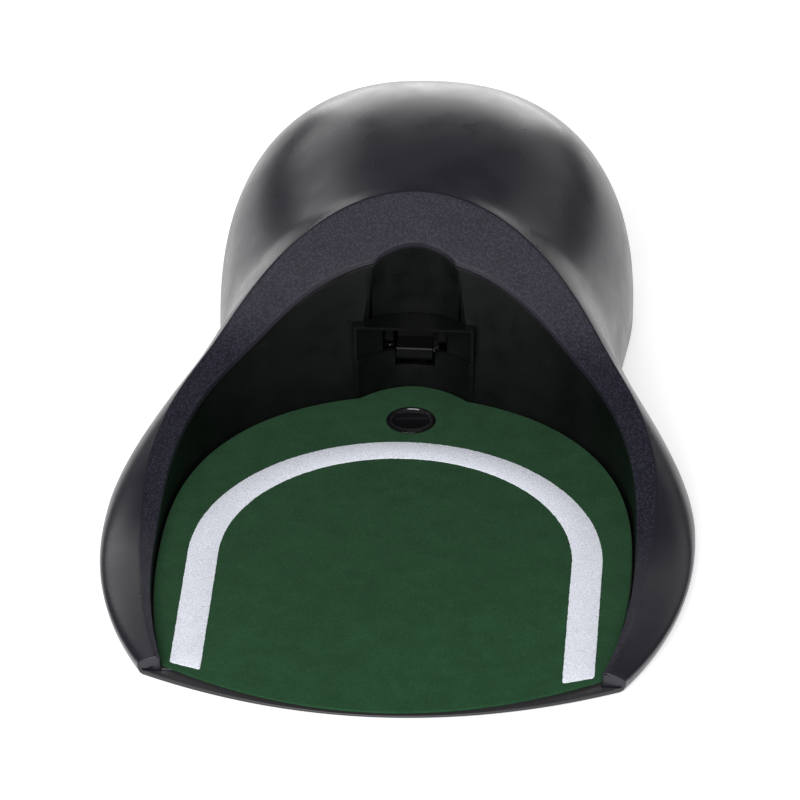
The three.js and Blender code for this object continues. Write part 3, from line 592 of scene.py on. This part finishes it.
def housing_rows():
    """Rows of points from the skirt's bottom edge up the side, over the rim, and into the mouth."""
    level = np.concatenate([
        [HOUSING_FRONT_Y + FRONT_ROUND, COWL_FRONT_Y - 0.35, COWL_FRONT_Y - 0.25],
        np.linspace(COWL_FRONT_Y + 2, FAN_Y, 56),
    ])
    angle = np.linspace(0, np.pi / 2, 150)[1:]
    origin_y = np.concatenate([level, np.full(len(angle), FAN_Y)])
    dx = np.concatenate([np.ones(len(level)), np.cos(angle)])
    dy = np.concatenate([np.zeros(len(level)), np.sin(angle)])
    dx[-1] = 0.0
    foot = march(lambda x, y: foot_half(y) - np.abs(x), origin_y, dx, dy)
    rim = march(lambda x, y: rim_half(y) - np.abs(x), origin_y, dx, dy)
    mouth = march(in_mouth, origin_y, dx, dy)

    def at(distance, height=None):
        x, y = dx * distance, origin_y + dy * distance
        return np.column_stack([x, y, shell_height(x, y) if height is None else height(y)])

    def lowered(distance, drop):
        point = at(distance, rim_height)
        point[:, 2] -= drop
        return point

    rows, rim_face = [], []
    base = widest_height(origin_y + dy * foot)
    for t in np.linspace(0, 1, SKIRT_ROWS + 1)[:-1]:
        row = at(foot - SKIRT_TUCK * (1 - t) ** 2)
        row[:, 2] = mix(SHELL_BOTTOM, base, t)
        rows.append(row)
    near_rim = 0.5
    fall = (at(rim)[:, 2] - at(rim + near_rim)[:, 2]) / near_rim
    start = rim + EDGE_ROUND / np.sqrt(1 + fall**2)
    for u in np.linspace(1, 0, SIDE_ROWS):
        rows.append(at(start + (foot - start) * np.sin(u * np.pi / 2)))
    top, lip = at(rim - EDGE_ROUND, rim_height), at(mouth + INNER_ROUND, rim_height)
    rows += bezier(rows[-1], at(rim, rim_height), top, EDGE_STEPS)
    rim_face.append(len(rows))
    for t in np.linspace(0, 1, RIM_ROWS):
        rows.append(at(mix(rim - EDGE_ROUND, mouth + INNER_ROUND, t), rim_height))
    from_channel = np.hypot(dx * mouth, origin_y + dy * mouth - CHANNEL_Y)
    lean = np.where(from_channel < CHANNEL_RADIUS + 0.01, 0, WALL_LEAN)
    edge = at(mouth, rim_height)
    wall_depth = np.where(origin_y < COWL_FRONT_Y - 0.3, edge[:, 2] - SHELL_BOTTOM - 0.05, WALL + 0.1)
    rows += bezier(lip, edge, lowered(mouth - lean * INNER_ROUND, INNER_ROUND), EDGE_STEPS)
    rim_face.append(len(rows))
    for t in np.linspace(0, 1, WALL_ROWS):
        drop = mix(INNER_ROUND, wall_depth, t)
        point = at(mouth - lean * drop)
        point[:, 2] = edge[:, 2] - drop
        rows.append(point)
    return np.stack(rows, 1), rim_face


def housing_shell():
    """One surface for the outside, the rim and the mouth's edge, solidified inwards into a wall."""
    right, (rim_from, rim_to) = housing_rows()
    # the cheeks' front ends are rounded by drawing the first profile in, towards its own inside
    first = right[0]
    along = np.gradient(first[:, [0, 2]], axis=0)
    along /= np.linalg.norm(along, axis=1, keepdims=True)
    inward = np.column_stack([-along[:, 1], along[:, 0]])
    ends = []
    for a in np.linspace(0, np.pi / 2, END_STEPS + 1)[:-1]:
        profile = first.copy()
        profile[:, [0, 2]] += inward * FRONT_ROUND * (1 - np.sin(a))
        profile[:, 1] = HOUSING_FRONT_Y + FRONT_ROUND * (1 - np.cos(a))
        ends.append(profile)
    right = np.concatenate([np.stack(ends), right])
    left = right[-2::-1] * (-1, 1, 1)
    rays = np.concatenate([right, left])
    count, columns = rays.shape[:2]
    faces = grid_faces(count, columns, False)
    rim_faces = {i * (columns - 1) + j for i in range(count - 1) for j in range(rim_from, rim_to)}
    faces += [tuple(range(columns)), tuple(reversed(range((count - 1) * columns, count * columns)))]
    shell = new_object("shell", rays.reshape(-1, 3), faces)
    for polygon in shell.data.polygons:
        polygon.material_index = 1 if polygon.index in rim_faces else 0
    dome_face = next(p for p in shell.data.polygons if p.center.z > (DOME_TOP - 1) * MM)
    if dome_face.normal.z < 0:
        shell.data.flip_normals()
    walls = shell.vertex_groups.new(name="wall")
    thick = smooth(HOUSING_FRONT_Y + 4, FRONT_SOLID_Y, rays.reshape(-1, 3)[:, 1])
    for index, weight in enumerate(thick):
        walls.add([index], float(weight), "REPLACE")
    thickness = shell.modifiers.new("wall", "SOLIDIFY")
    thickness.thickness = FLAT_WALL * MM
    thickness.offset = -1
    thickness.vertex_group = "wall"
    thickness.thickness_vertex_group = THINNEST_SHARE
    return shell


finish_piece(
    housing_shell(), "housing_shell", ["upper_housing"], "housing", housing_black, rim_black, sharp=50,
)


# ---------------------------------------------------------------- the green's outlines
POCKET_FRONT_Y = -20        # well inside the green, so that a pocket cutter opens into it


def green_arch(grow, front_y, steps=110):
    rear = GREEN_Y + GREEN_REAR_REACH + grow
    y = front_y + (rear - front_y) * np.sin(np.linspace(0, np.pi / 2, steps))
    right = np.column_stack([green_half(y, grow), y])
    right[-1, 0] = 0
    return np.concatenate([right, right[-2::-1] * (-1, 1)])


def pocket_arc(half, rear, mouth, steps=40):
    x = np.linspace(half, -half, steps)
    return np.column_stack([x, rear - (rear - mouth) * (x / half) ** 2])


def pocket_outline(grow=0.0):
    half = POCKET_HALF + grow
    arc = pocket_arc(half, POCKET_REAR_Y + grow, POCKET_MOUTH_Y + grow)
    return np.concatenate([[(-half, POCKET_FRONT_Y), (half, POCKET_FRONT_Y)], arc])


def front_arc(half, corner_y, bow, steps=90):
    x = np.linspace(-half, half, steps)
    return np.column_stack([x, corner_y - bow * (1 - (x / half) ** 2)])


def green_outline(grow, corner_y, bow):
    """The green's edge: its arch, the pocket at the back, and a front that bows out by bow."""
    arch = green_arch(grow, corner_y)
    mouth = POCKET_HALF + grow
    right, left = arch[arch[:, 0] > mouth + 1], arch[arch[:, 0] < -mouth - 1]
    corner = float(green_half(np.float64(corner_y), grow))
    pocket = pocket_arc(mouth, POCKET_REAR_Y + grow, POCKET_MOUTH_Y + grow)
    return np.concatenate([right, pocket, left, front_arc(corner, corner_y, bow)[1:-1]])


def signed_area(outline):
    """Area inside the outline, which is positive if it runs anticlockwise."""
    x, y = outline.T
    return 0.5 * np.sum(x * np.roll(y, -1) - y * np.roll(x, -1))


def outline_normals(outline):
    ahead, behind = np.roll(outline, -1, 0), np.roll(outline, 1, 0)
    along = ahead - behind
    along /= np.maximum(np.linalg.norm(along, axis=1, keepdims=True), 1e-9)
    return np.column_stack([along[:, 1], -along[:, 0]])


def rounded_slab(name, outline, top, bottom, radius, steps=4):
    """A plate whose upper edge is rounded; top and bottom are heights that depend on y."""
    outline = np.asarray(outline, float)
    outward = outline_normals(outline) * np.sign(signed_area(outline))
    loops = [raised(outline, bottom(outline[:, 1]))]
    for a in np.linspace(0, np.pi / 2, steps + 1):
        ring = outline - outward * radius * (1 - np.cos(a))
        loops.append(raised(ring, top(ring[:, 1]) - radius * (1 - np.sin(a))))
    return loft(name, loops)


# ---------------------------------------------------------------- inner cowl
# Each slot's span in X, Y and Z
LEVER_SLOT = (-3, 3, 24, 40, -2, 10.4)
STRIKER_SLOT = (-8.6, 8.6, 22, 40, 24.6, LEDGE_Z + 1)
GROOVE_DROP = 1.2                   # from the pocket's top down to the top of its wide part


def green_well(grow, z0, z1):
    """The space over the green, widening upwards with the lean of its wall."""
    return loft("well", [raised(green_arch(wall_growth(z) + grow, BEYOND_FRONT_Y), z) for z in (z0, z1)])


def channel(grow):
    """The upright round channel over the dish."""
    return bar_z(CHANNEL_RADIUS + grow, 0, CHANNEL_Y, POCKET_TOP_Z - 0.01, 128, 160)


def under_the_rim():
    """The space below the housing's rim, back to just short of the rim's top."""
    y = np.linspace(COWL_FRONT_Y, 46, 130)
    roof = np.column_stack([y, rim_height(y) - WALL - GAP])
    return prism_x([(y[-1], 0), *roof[::-1], (y[0], 0)][::-1], -BEYOND_HALF, BEYOND_HALF)


def cowl():
    skirt = combine(
        green_well(1.1, SHELL_BOTTOM + 0.2, COWL_BASE + 1), "INTERSECT",
        block(-RAMP_GAP_HALF, RAMP_GAP_HALF, BEYOND_FRONT_Y, RAMP_GAP_REAR_Y - GAP, 0, COWL_BASE + 1),
    )
    wall = join(green_well(COWL_WALL, COWL_BASE, 127), skirt)
    wall = join(wall, prism(pocket_outline(COWL_WALL), COWL_BASE, POCKET_TOP_Z + COWL_WALL))
    wall = join(wall, channel(COWL_WALL))
    wall = cut(wall, green_well(0, 0, BEYOND_TOP_Z))
    frame_walls = combine(
        prism(pocket_outline(COWL_WALL), COWL_BASE, POCKET_TOP_Z), "INTERSECT",
        block(-40, 40, POCKET_MOUTH_Y - 0.4, 60, 0, 60),
    )
    wall = join(wall, frame_walls)
    return combine(
        cut(
            wall,
            prism(pocket_outline(), -1, LEDGE_Z),
            prism(pocket_outline(0.8), LEDGE_Z - 0.01, POCKET_TOP_Z - GROOVE_DROP),
            channel(0),
            block(-WINDOW_HALF, WINDOW_HALF, 20, 40, LEDGE_Z - 0.02, WINDOW_TOP_Z),
            block(*LEVER_SLOT),
            block(*STRIKER_SLOT),
        ),
        "INTERSECT",
        under_the_rim(),
    )


inner_cowl = finish_piece(cowl(), "cowl_wall", ["inner_cowl"], "cowl", cowl_black, sharp=30)
bevel(inner_cowl, 0.22)

# ---------------------------------------------------------------- deck, felt and line
LIP_HALF, LIP_CORNER_Y = 94.2, -182.2
FELT_CORNER_Y, FELT_BOW = -179, 25.6
DISH_CLEARANCE = 0.4
DECK_ROUND, FELT_ROUND, LINE_ROUND = 0.45, 0.35, 0.14
LINE_OUTER, LINE_INNER, LINE_CENTRE_Y, LINE_FRONT_Y = 84.8, 72.3, -100.5, -178
LINE_DRAW_IN = 1.3                  # the legs close in by this much towards the front
LINE_END_SLANT, LINE_CORNER = 0.34, 1.3
LINE_STEP, LINE_RAGGED = 0.55, 0.08  # spacing and spread of the print's ragged edge


def deck_outline():
    arch = green_outline(-DECK_INSET, LIP_CORNER_Y + 1, 0)
    arch = arch[arch[:, 1] > LIP_CORNER_Y + 0.9]
    neck = float(green_half(np.float64(LIP_CORNER_Y), -DECK_INSET))
    lip = front_arc(LIP_HALF, LIP_CORNER_Y, LIP_CORNER_Y - FRONT_Y)
    return np.concatenate([arch, [(-neck, LIP_CORNER_Y)], lip, [(neck, LIP_CORNER_Y)]])


def deck_under(y):
    return np.maximum(SHELL_BOTTOM, SHELL_BOTTOM + DECK_UNDER_SLOPE * (y - DECK_UNDER_Y))


def dish_hole(grow):
    return bar_z(DISH_RADIUS + grow, 0, DISH_Y, -5, 40, 128)


deck = rounded_slab("deck", deck_outline(), deck_top, deck_under, DECK_ROUND)
finish_piece(cut(deck, dish_hole(DISH_CLEARANCE + 0.1)), "deck_plate", ["ramp_deck"], "base", deck_black)

felt_outline = green_outline(-GREEN_INSET, FELT_CORNER_Y, FELT_BOW)
felt = rounded_slab("felt", felt_outline, felt_top, lambda y: deck_top(y) + FELT_GAP, FELT_ROUND)
felt = finish_piece(cut(felt, dish_hole(DISH_CLEARANCE)), "felt_sheet", ["felt_pad"], "felt", felt_green)


def resampled(outline, step):
    """The closed outline with its points about step apart."""
    closed = np.concatenate([outline, outline[:1]])
    lengths = np.linalg.norm(np.diff(closed, axis=0), axis=1)
    reached = np.concatenate([[0], np.cumsum(lengths)])
    places = np.linspace(0, reached[-1], int(reached[-1] / step), endpoint=False)
    return np.column_stack([np.interp(places, reached, closed[:, i]) for i in (0, 1)])


def guide_line():
    def end(x):
        return (x - math.copysign(LINE_DRAW_IN, x), LINE_FRONT_Y - LINE_END_SLANT * (LINE_OUTER - abs(x)))

    def arc(radius, a0, a1):
        a = np.linspace(a0, a1, 90)
        return np.column_stack([radius * np.cos(a), LINE_CENTRE_Y + radius * np.sin(a)])

    outline = np.concatenate([
        [end(LINE_OUTER)], arc(LINE_OUTER, 0, np.pi), [end(-LINE_OUTER), end(-LINE_INNER)],
        arc(LINE_INNER, np.pi, 0), [end(LINE_INNER)],
    ])
    outline = resampled(np.array(rounded_loop(outline, LINE_CORNER)), LINE_STEP)
    ragged = np.convolve(random.normal(0, LINE_RAGGED, len(outline) + 2), [0.25, 0.5, 0.25], "valid")
    outline += outline_normals(outline) * ragged[:, None]
    top, bottom = (lambda y: felt_top(y) + 0.24), (lambda y: felt_top(y) + 0.01)
    return rounded_slab("line", outline, top, bottom, LINE_ROUND, 2)


finish_piece(guide_line(), "line_print", ["guide_line"], "line", line_white)


# ---------------------------------------------------------------- trigger dish
BOWL_RADIUS, BOWL_DEPTH, BOWL_BELOW_EDGE = 9.5, 2.4, 0.1


def trigger_dish():
    """A shallow bowl that stands just above the felt, with the finger that presses the switch lever."""
    rise = felt_top(DISH_Y) + 0.2
    quarter = [t * math.pi / 2 for t in np.linspace(0, 1, 14)]
    bowl = [(BOWL_RADIUS * math.sin(a), -BOWL_BELOW_EDGE - BOWL_DEPTH * math.cos(a)) for a in quarter]
    under = rounded([(0, -4.0), (4, -4.0), (7.2, -3.3), (9.3, -2.2), (DISH_RADIUS, -1.8), (DISH_RADIUS, 0),
                     bowl[-1]], 0.2)
    dish = lathe("dish", [*under, *bowl[::-1][1:]], 96)
    dish.data.transform(Matrix.Rotation(math.atan(DECK_SLOPE), 4, "X"))
    move(dish, 0, DISH_Y, rise)
    return join(dish, block(-2, 2, 9, 11, 7.9, rise - 2))


finish_piece(trigger_dish(), "dish", ["trigger_dish"], "dish", dish_black)


# ---------------------------------------------------------------- kicker
STRIKER_HALF, BARREL_HALF = 7.75, 13.3
BARREL_RADIUS, RIB_HEIGHT, RIBS = 3.05, 0.15, 9


def kicker():
    def at(points):
        """Points of (y, z) given from the kicker's pivot."""
        return [(KICKER_Y + y, KICKER_Z + z) for y, z in points]

    striker = prism_x(rounded_loop(at([(2.4, -7), (-10.6, -7), (-11.1, -7.6), (-11.1, -11.6), (-10.4, -13),
                                       (-9, -13.7), (-4, -13.7), (2.4, -9.5)]), 0.7),
                      -STRIKER_HALF, STRIKER_HALF)
    web = prism_x(at([(2.4, 0), (-0.6, 0), (-0.6, -7.5), (2.4, -7.5)]), -STRIKER_HALF, STRIKER_HALF)
    arms = [
        prism_x(rounded_loop(at([(2, 0), (-2.4, 0), (-2.4, -8.5), (-1.4, -10), (2, -10)]), 0.6), x0, x1)
        for x0, x1 in ((9.8, BARREL_HALF), (-BARREL_HALF, -9.8))
    ]
    tail = prism_x(at([(0, 2.8), (0, -2.8), (TAIL_LENGTH, -1.8), (TAIL_LENGTH, 1.8)]), -8.5, -4)
    nose = bar_x(NOSE_RADIUS, KICKER_Y + TAIL_LENGTH, KICKER_Z, -8.5, 2.8, 48)
    lug = prism_x(at([(14, 1), (14, -1), (17, -1), (17, 1)]), -15, -6)
    a = np.linspace(0, 2 * np.pi, 144, endpoint=False)
    wave = np.cos(RIBS * a)
    ribs = BARREL_RADIUS + RIB_HEIGHT * np.sign(wave) * np.minimum(1, 3 * np.abs(wave))
    ribbed = np.column_stack([KICKER_Y + ribs * np.cos(a), KICKER_Z + ribs * np.sin(a)])
    barrel = prism_x(ribbed, -BARREL_HALF, BARREL_HALF)
    body = join(barrel, web, striker, *arms, tail, nose, lug)
    return cut(body, bar_x(1.8, KICKER_Y, KICKER_Z, -20, 20, 48))


striker = finish_piece(kicker(), "kicker_arm", ["kicker"], "kicker", kicker_black)
bevel(striker, 0.14)


# ---------------------------------------------------------------- base plate, feet, screws, door, slider
BASE_TOP = SHELL_BOTTOM + 2
BASE_INSET = WALL + SKIRT_TUCK + 0.5
DOOR_HALF, DOOR_FRONT, DOOR_REAR = 31, 133, 187
SWITCH_X, SWITCH_Y = -52, 110
SCREW_CORE, SCREW_CREST, SCREW_PITCH = 1.15, 1.45, 1.1
FEET = {
    "front_right": (104, -98), "front_left": (-104, -98),
    "rear_right": (44, 182), "rear_left": (-44, 182),
}


def boss_top(y):
    """How high the screw boss at y reaches under the shell."""
    return 7.5 if y < -100 else 16 if y < 0 else 30


def base_outline():
    """The footprint drawn in by BASE_INSET, with the dome's end shrunk evenly."""
    front_y = HOUSING_FRONT_Y + WALL + 0.5
    rear_y = REAR_Y - BASE_INSET - 0.5
    scale = (REAR_Y - DOME_Y) / (rear_y - DOME_Y)
    y = np.concatenate([np.linspace(front_y, DOME_Y, 120),
                        DOME_Y + (rear_y - DOME_Y) * np.sin(np.linspace(0, np.pi / 2, 60)[1:])])
    source = np.where(y > DOME_Y, DOME_Y + (y - DOME_Y) * scale, y)
    right = np.column_stack([np.maximum(foot_half(np.minimum(source, REAR_Y)) - BASE_INSET, 0), y])
    return np.concatenate([right, right[-2::-1] * (-1, 1)])


def base_plate():
    plate = prism(base_outline(), SHELL_BOTTOM, BASE_TOP)
    below, above = -5, 10
    openings = [
        block(-RAMP_GAP_HALF, RAMP_GAP_HALF, BEYOND_FRONT_Y, RAMP_GAP_REAR_Y, below, above),
        block(-DOOR_HALF, DOOR_HALF, DOOR_FRONT, DOOR_REAR, below, above),
        block(SWITCH_X - 5, SWITCH_X + 5, SWITCH_Y - 2, SWITCH_Y + 2, below, above),
    ]
    openings += [bar_z(2.4, x, y, below, above, 32) for x, y in FEET.values()]
    for x, y in BOSSES:
        openings += [bar_z(1.9, x, y, below, above, 32), bar_z(3.4, x, y, below, SHELL_BOTTOM + 1.1, 48)]
    return cut(plate, *openings)


base = finish_piece(base_plate(), "base_panel", ["base_plate"], "base", base_black)
bevel(base, 0.25, 50)

for place, (x, y) in FEET.items():
    profile = rounded([(0, 0), (5.2, 0), (5.8, 0.3), (5.8, 0.85), (2, 0.85), (2, 2.6), (0, 2.6)], 0.25)
    foot = move(lathe("foot", profile, 48), x, y)
    finish_piece(foot, f"foot_pad_{place}", [f"foot_{place}"], "rubber", rubber_black)


def base_screw(tip):
    """A cross-head screw, head down, whose thread is a row of rings up to its tip."""
    heights = np.arange(2.2, tip - 1.5, SCREW_PITCH / 2)
    head = [(0, 1.25), (2.5, 1.25), (2.9, 1.4), (3, 1.7), (3, 1.95), (SCREW_CREST, 1.95)]
    thread = [(SCREW_CORE if k % 2 else SCREW_CREST, z) for k, z in enumerate(heights)]
    screw = lathe("screw", [*head, *thread, (SCREW_CORE, tip - 1.4), (0, tip)], 40)
    cross = join(block(-1.6, 1.6, -0.3, 0.3, 0.5, 1.75), block(-0.3, 0.3, -1.6, 1.6, 0.5, 1.75))
    return cut(screw, cross)


for i, (x, y) in enumerate(BOSSES):
    screw = move(base_screw(boss_top(y) - 1), x, y)
    finish_piece(screw, f"screw_{i + 1}", [f"base_screw_{i + 1}"], "steel", steel)


def battery_door():
    x0, x1, y0, y1 = -DOOR_HALF + 0.4, DOOR_HALF - 0.4, DOOR_FRONT + 0.4, DOOR_REAR - 0.4
    outline = rounded_loop([(x0, y0), (x1, y0), (x1, y1), (x0, y1)], 1.2, 6)
    door = prism(outline, SHELL_BOTTOM, BASE_TOP - 0.2)
    grooves = [block(-9, 9, DOOR_FRONT + 3, DOOR_FRONT + 6, 0, SHELL_BOTTOM + 0.8)]
    grips = np.arange(DOOR_FRONT + 9, DOOR_FRONT + 21, 2.4)
    grooves += [block(-14, 14, y, y + 0.9, 0, SHELL_BOTTOM + 0.35) for y in grips]
    return cut(door, *grooves)


door = finish_piece(battery_door(), "battery_cover", ["battery_door"], "base", base_black)
bevel(door, 0.15, 50)


def switch_slider():
    slider = block(SWITCH_X - 4.6, SWITCH_X - 0.6, SWITCH_Y - 1.6, SWITCH_Y + 1.6, 1.3, BASE_TOP - 0.1)
    places = SWITCH_X - 4.6 + np.arange(0.6, 3.6, 0.8)
    grooves = [block(x, x + 0.35, SWITCH_Y - 1.3, SWITCH_Y + 1.3, 1, 1.65) for x in places]
    return cut(slider, *grooves)


slider = finish_piece(switch_slider(), "slider_button", ["switch_slider"], "switch", switch_black)
bevel(slider, 0.08, 50)


# ---------------------------------------------------------------- springs
def coil(radius, wire, turns, height, x, y, z):
    """A round wire wound about Z, with the last turn at each end lying nearly flat."""
    steps_in_turn = 40
    t = np.linspace(0, 1, turns * steps_in_turn + 1)
    a = 2 * np.pi * turns * t
    flat = 0.7 / turns
    rise = np.interp(t, [0, flat, 1 - flat, 1], [0, 0.05, 0.95, 1]) * height
    outward = np.column_stack([np.cos(a), np.sin(a), np.zeros_like(a)])
    centre = np.column_stack([x + radius * np.cos(a), y + radius * np.sin(a), z + rise])
    around = np.linspace(0, 2 * np.pi, 12, endpoint=False)
    up = np.array([0, 0, 1])
    level, upright = np.cos(around)[:, None], np.sin(around)[:, None]
    return loft("coil", [c + wire * (level * o + upright * up) for c, o in zip(centre, outward)])


def spring(name, node, body, x, y, span, z, **sizes):
    """A coil standing at z, left in place; the span of heights and body are handed on but not used to bend
    it.
    """
    ends = [tuple(np.array([x, y, height]) * MM) for height in span]
    wound = coil(x=x, y=y, z=z, **sizes)
    finish_piece(wound, name, [node], "spring", spring_steel, sharp=60, bends=("housing", body, *ends))


spring("coil_under_dish", "trigger_spring", "trigger", 0, DISH_Y, (3.4, 8.4), BASE_TOP + 0.6,
       radius=4, wire=0.3, turns=4, height=4.6)
spring("coil_of_kicker", "kicker_spring", "kicker", -12.6, KICKER_Y + 15.5, (5, 40), 4.6,
       radius=2.4, wire=0.35, turns=9, height=36)

# ---------------------------------------------------------------- CAD parts that keep their shape
# Each has its material and the rounding of its edges.
KEPT = {
    "switch_lever": (nickel, 0.08), "microswitch": (switch_black, 0.3),
    "kicker_shaft": (shaft_steel, 0.15), "cam_shaft": (shaft_steel, 0.15),
    "second_shaft": (shaft_steel, 0.15), "first_shaft": (shaft_steel, 0.15),
    "cam_gear": (gear_grey, 0.12), "second_gear": (gear_grey, 0.08), "first_gear": (gear_grey, 0.08),
    "motor_pinion": (brass, 0.06), "motor": (motor_steel, 0.5),
    "gearbox_side_left": (frame_grey, 0.3), "gearbox_side_right": (frame_grey, 0.3),
    "battery_box": (base_black, 0.3), "contact_front": (nickel, 0.1), "contact_rear": (nickel, 0.1),
    "power_switch": (switch_black, 0.4),
    "cell_1": (cell_jacket, 0.2), "cell_2": (cell_jacket, 0.2),
    "cell_3": (cell_jacket, 0.2), "cell_4": (cell_jacket, 0.2),
}
for node, (material, edge) in KEPT.items():
    kept = frame["nodes"][node]
    kept.data.materials.clear()
    kept.data.materials.append(material)
    shade(kept, 35)
    bevel(kept, edge)

# ---------------------------------------------------------------- floor, light, camera
WORLD_LIGHT, FLOOR_GLOW = 0.14, 0.5
floor_surface = Surface("floor_white", (0.86, 0.86, 0.87), 0.6,
                        Emission_Color=(1, 1, 1, 1), Emission_Strength=FLOOR_GLOW)
floor_surface.rough(floor_surface.noise(60, 2), 0.55, 0.65)
bpy.ops.mesh.primitive_plane_add(size=12, location=(0, 0, 0))
floor = bpy.context.object
floor.name = "floor"
floor.data.materials.append(floor_surface.material)

bpy.context.scene.view_settings.view_transform = "Standard"
world = bpy.data.worlds.new("studio")
world.use_nodes = True
sky = world.node_tree.nodes["Background"]
sky.inputs["Color"].default_value = (1, 1, 1, 1)
sky.inputs["Strength"].default_value = WORLD_LIGHT
bpy.context.scene.world = world


def softbox(name, place, size, brightness):
    """A rectangular lamp facing the origin, as bright across its face whatever its size."""
    light = bpy.data.lights.new(name, "AREA")
    light.shape = "RECTANGLE"
    light.size, light.size_y = size
    light.energy = brightness * math.pi * size[0] * size[1]
    holder = bpy.data.objects.new(name, light)
    holder.location = place
    holder.rotation_euler = (-Vector(place)).to_track_quat("-Z", "Y").to_euler()
    bpy.context.scene.collection.objects.link(holder)


softbox("back", (0, 1.7, 0.42), (1.3, 0.84), 3.2)
softbox("back_left", (-1.05, 1.46, 0.84), (0.8, 0.64), 1.6)
softbox("back_right", (1.1, 1.4, 0.8), (0.8, 0.6), 0.6)
softbox("front", (-0.3, -1.9, 1.25), (2.2, 1.4), 7.2)

CAMERA_TARGET = Vector((-0.0074, 0.041, 0))
CAMERA_DISTANCE = 1.76
CAMERA_AZIMUTH, CAMERA_ELEVATION = math.radians(3.85), math.radians(30)
back = Vector((math.sin(CAMERA_AZIMUTH) * math.cos(CAMERA_ELEVATION),
               -math.cos(CAMERA_AZIMUTH) * math.cos(CAMERA_ELEVATION), math.sin(CAMERA_ELEVATION)))
camera = bpy.data.objects.new("camera", bpy.data.cameras.new("camera"))
camera.data.lens, camera.data.sensor_width = 180, 36
camera.location = CAMERA_TARGET + back * CAMERA_DISTANCE
camera.rotation_euler = back.to_track_quat("Z", "Y").to_euler()
bpy.context.scene.collection.objects.link(camera)
bpy.context.scene.camera = camera
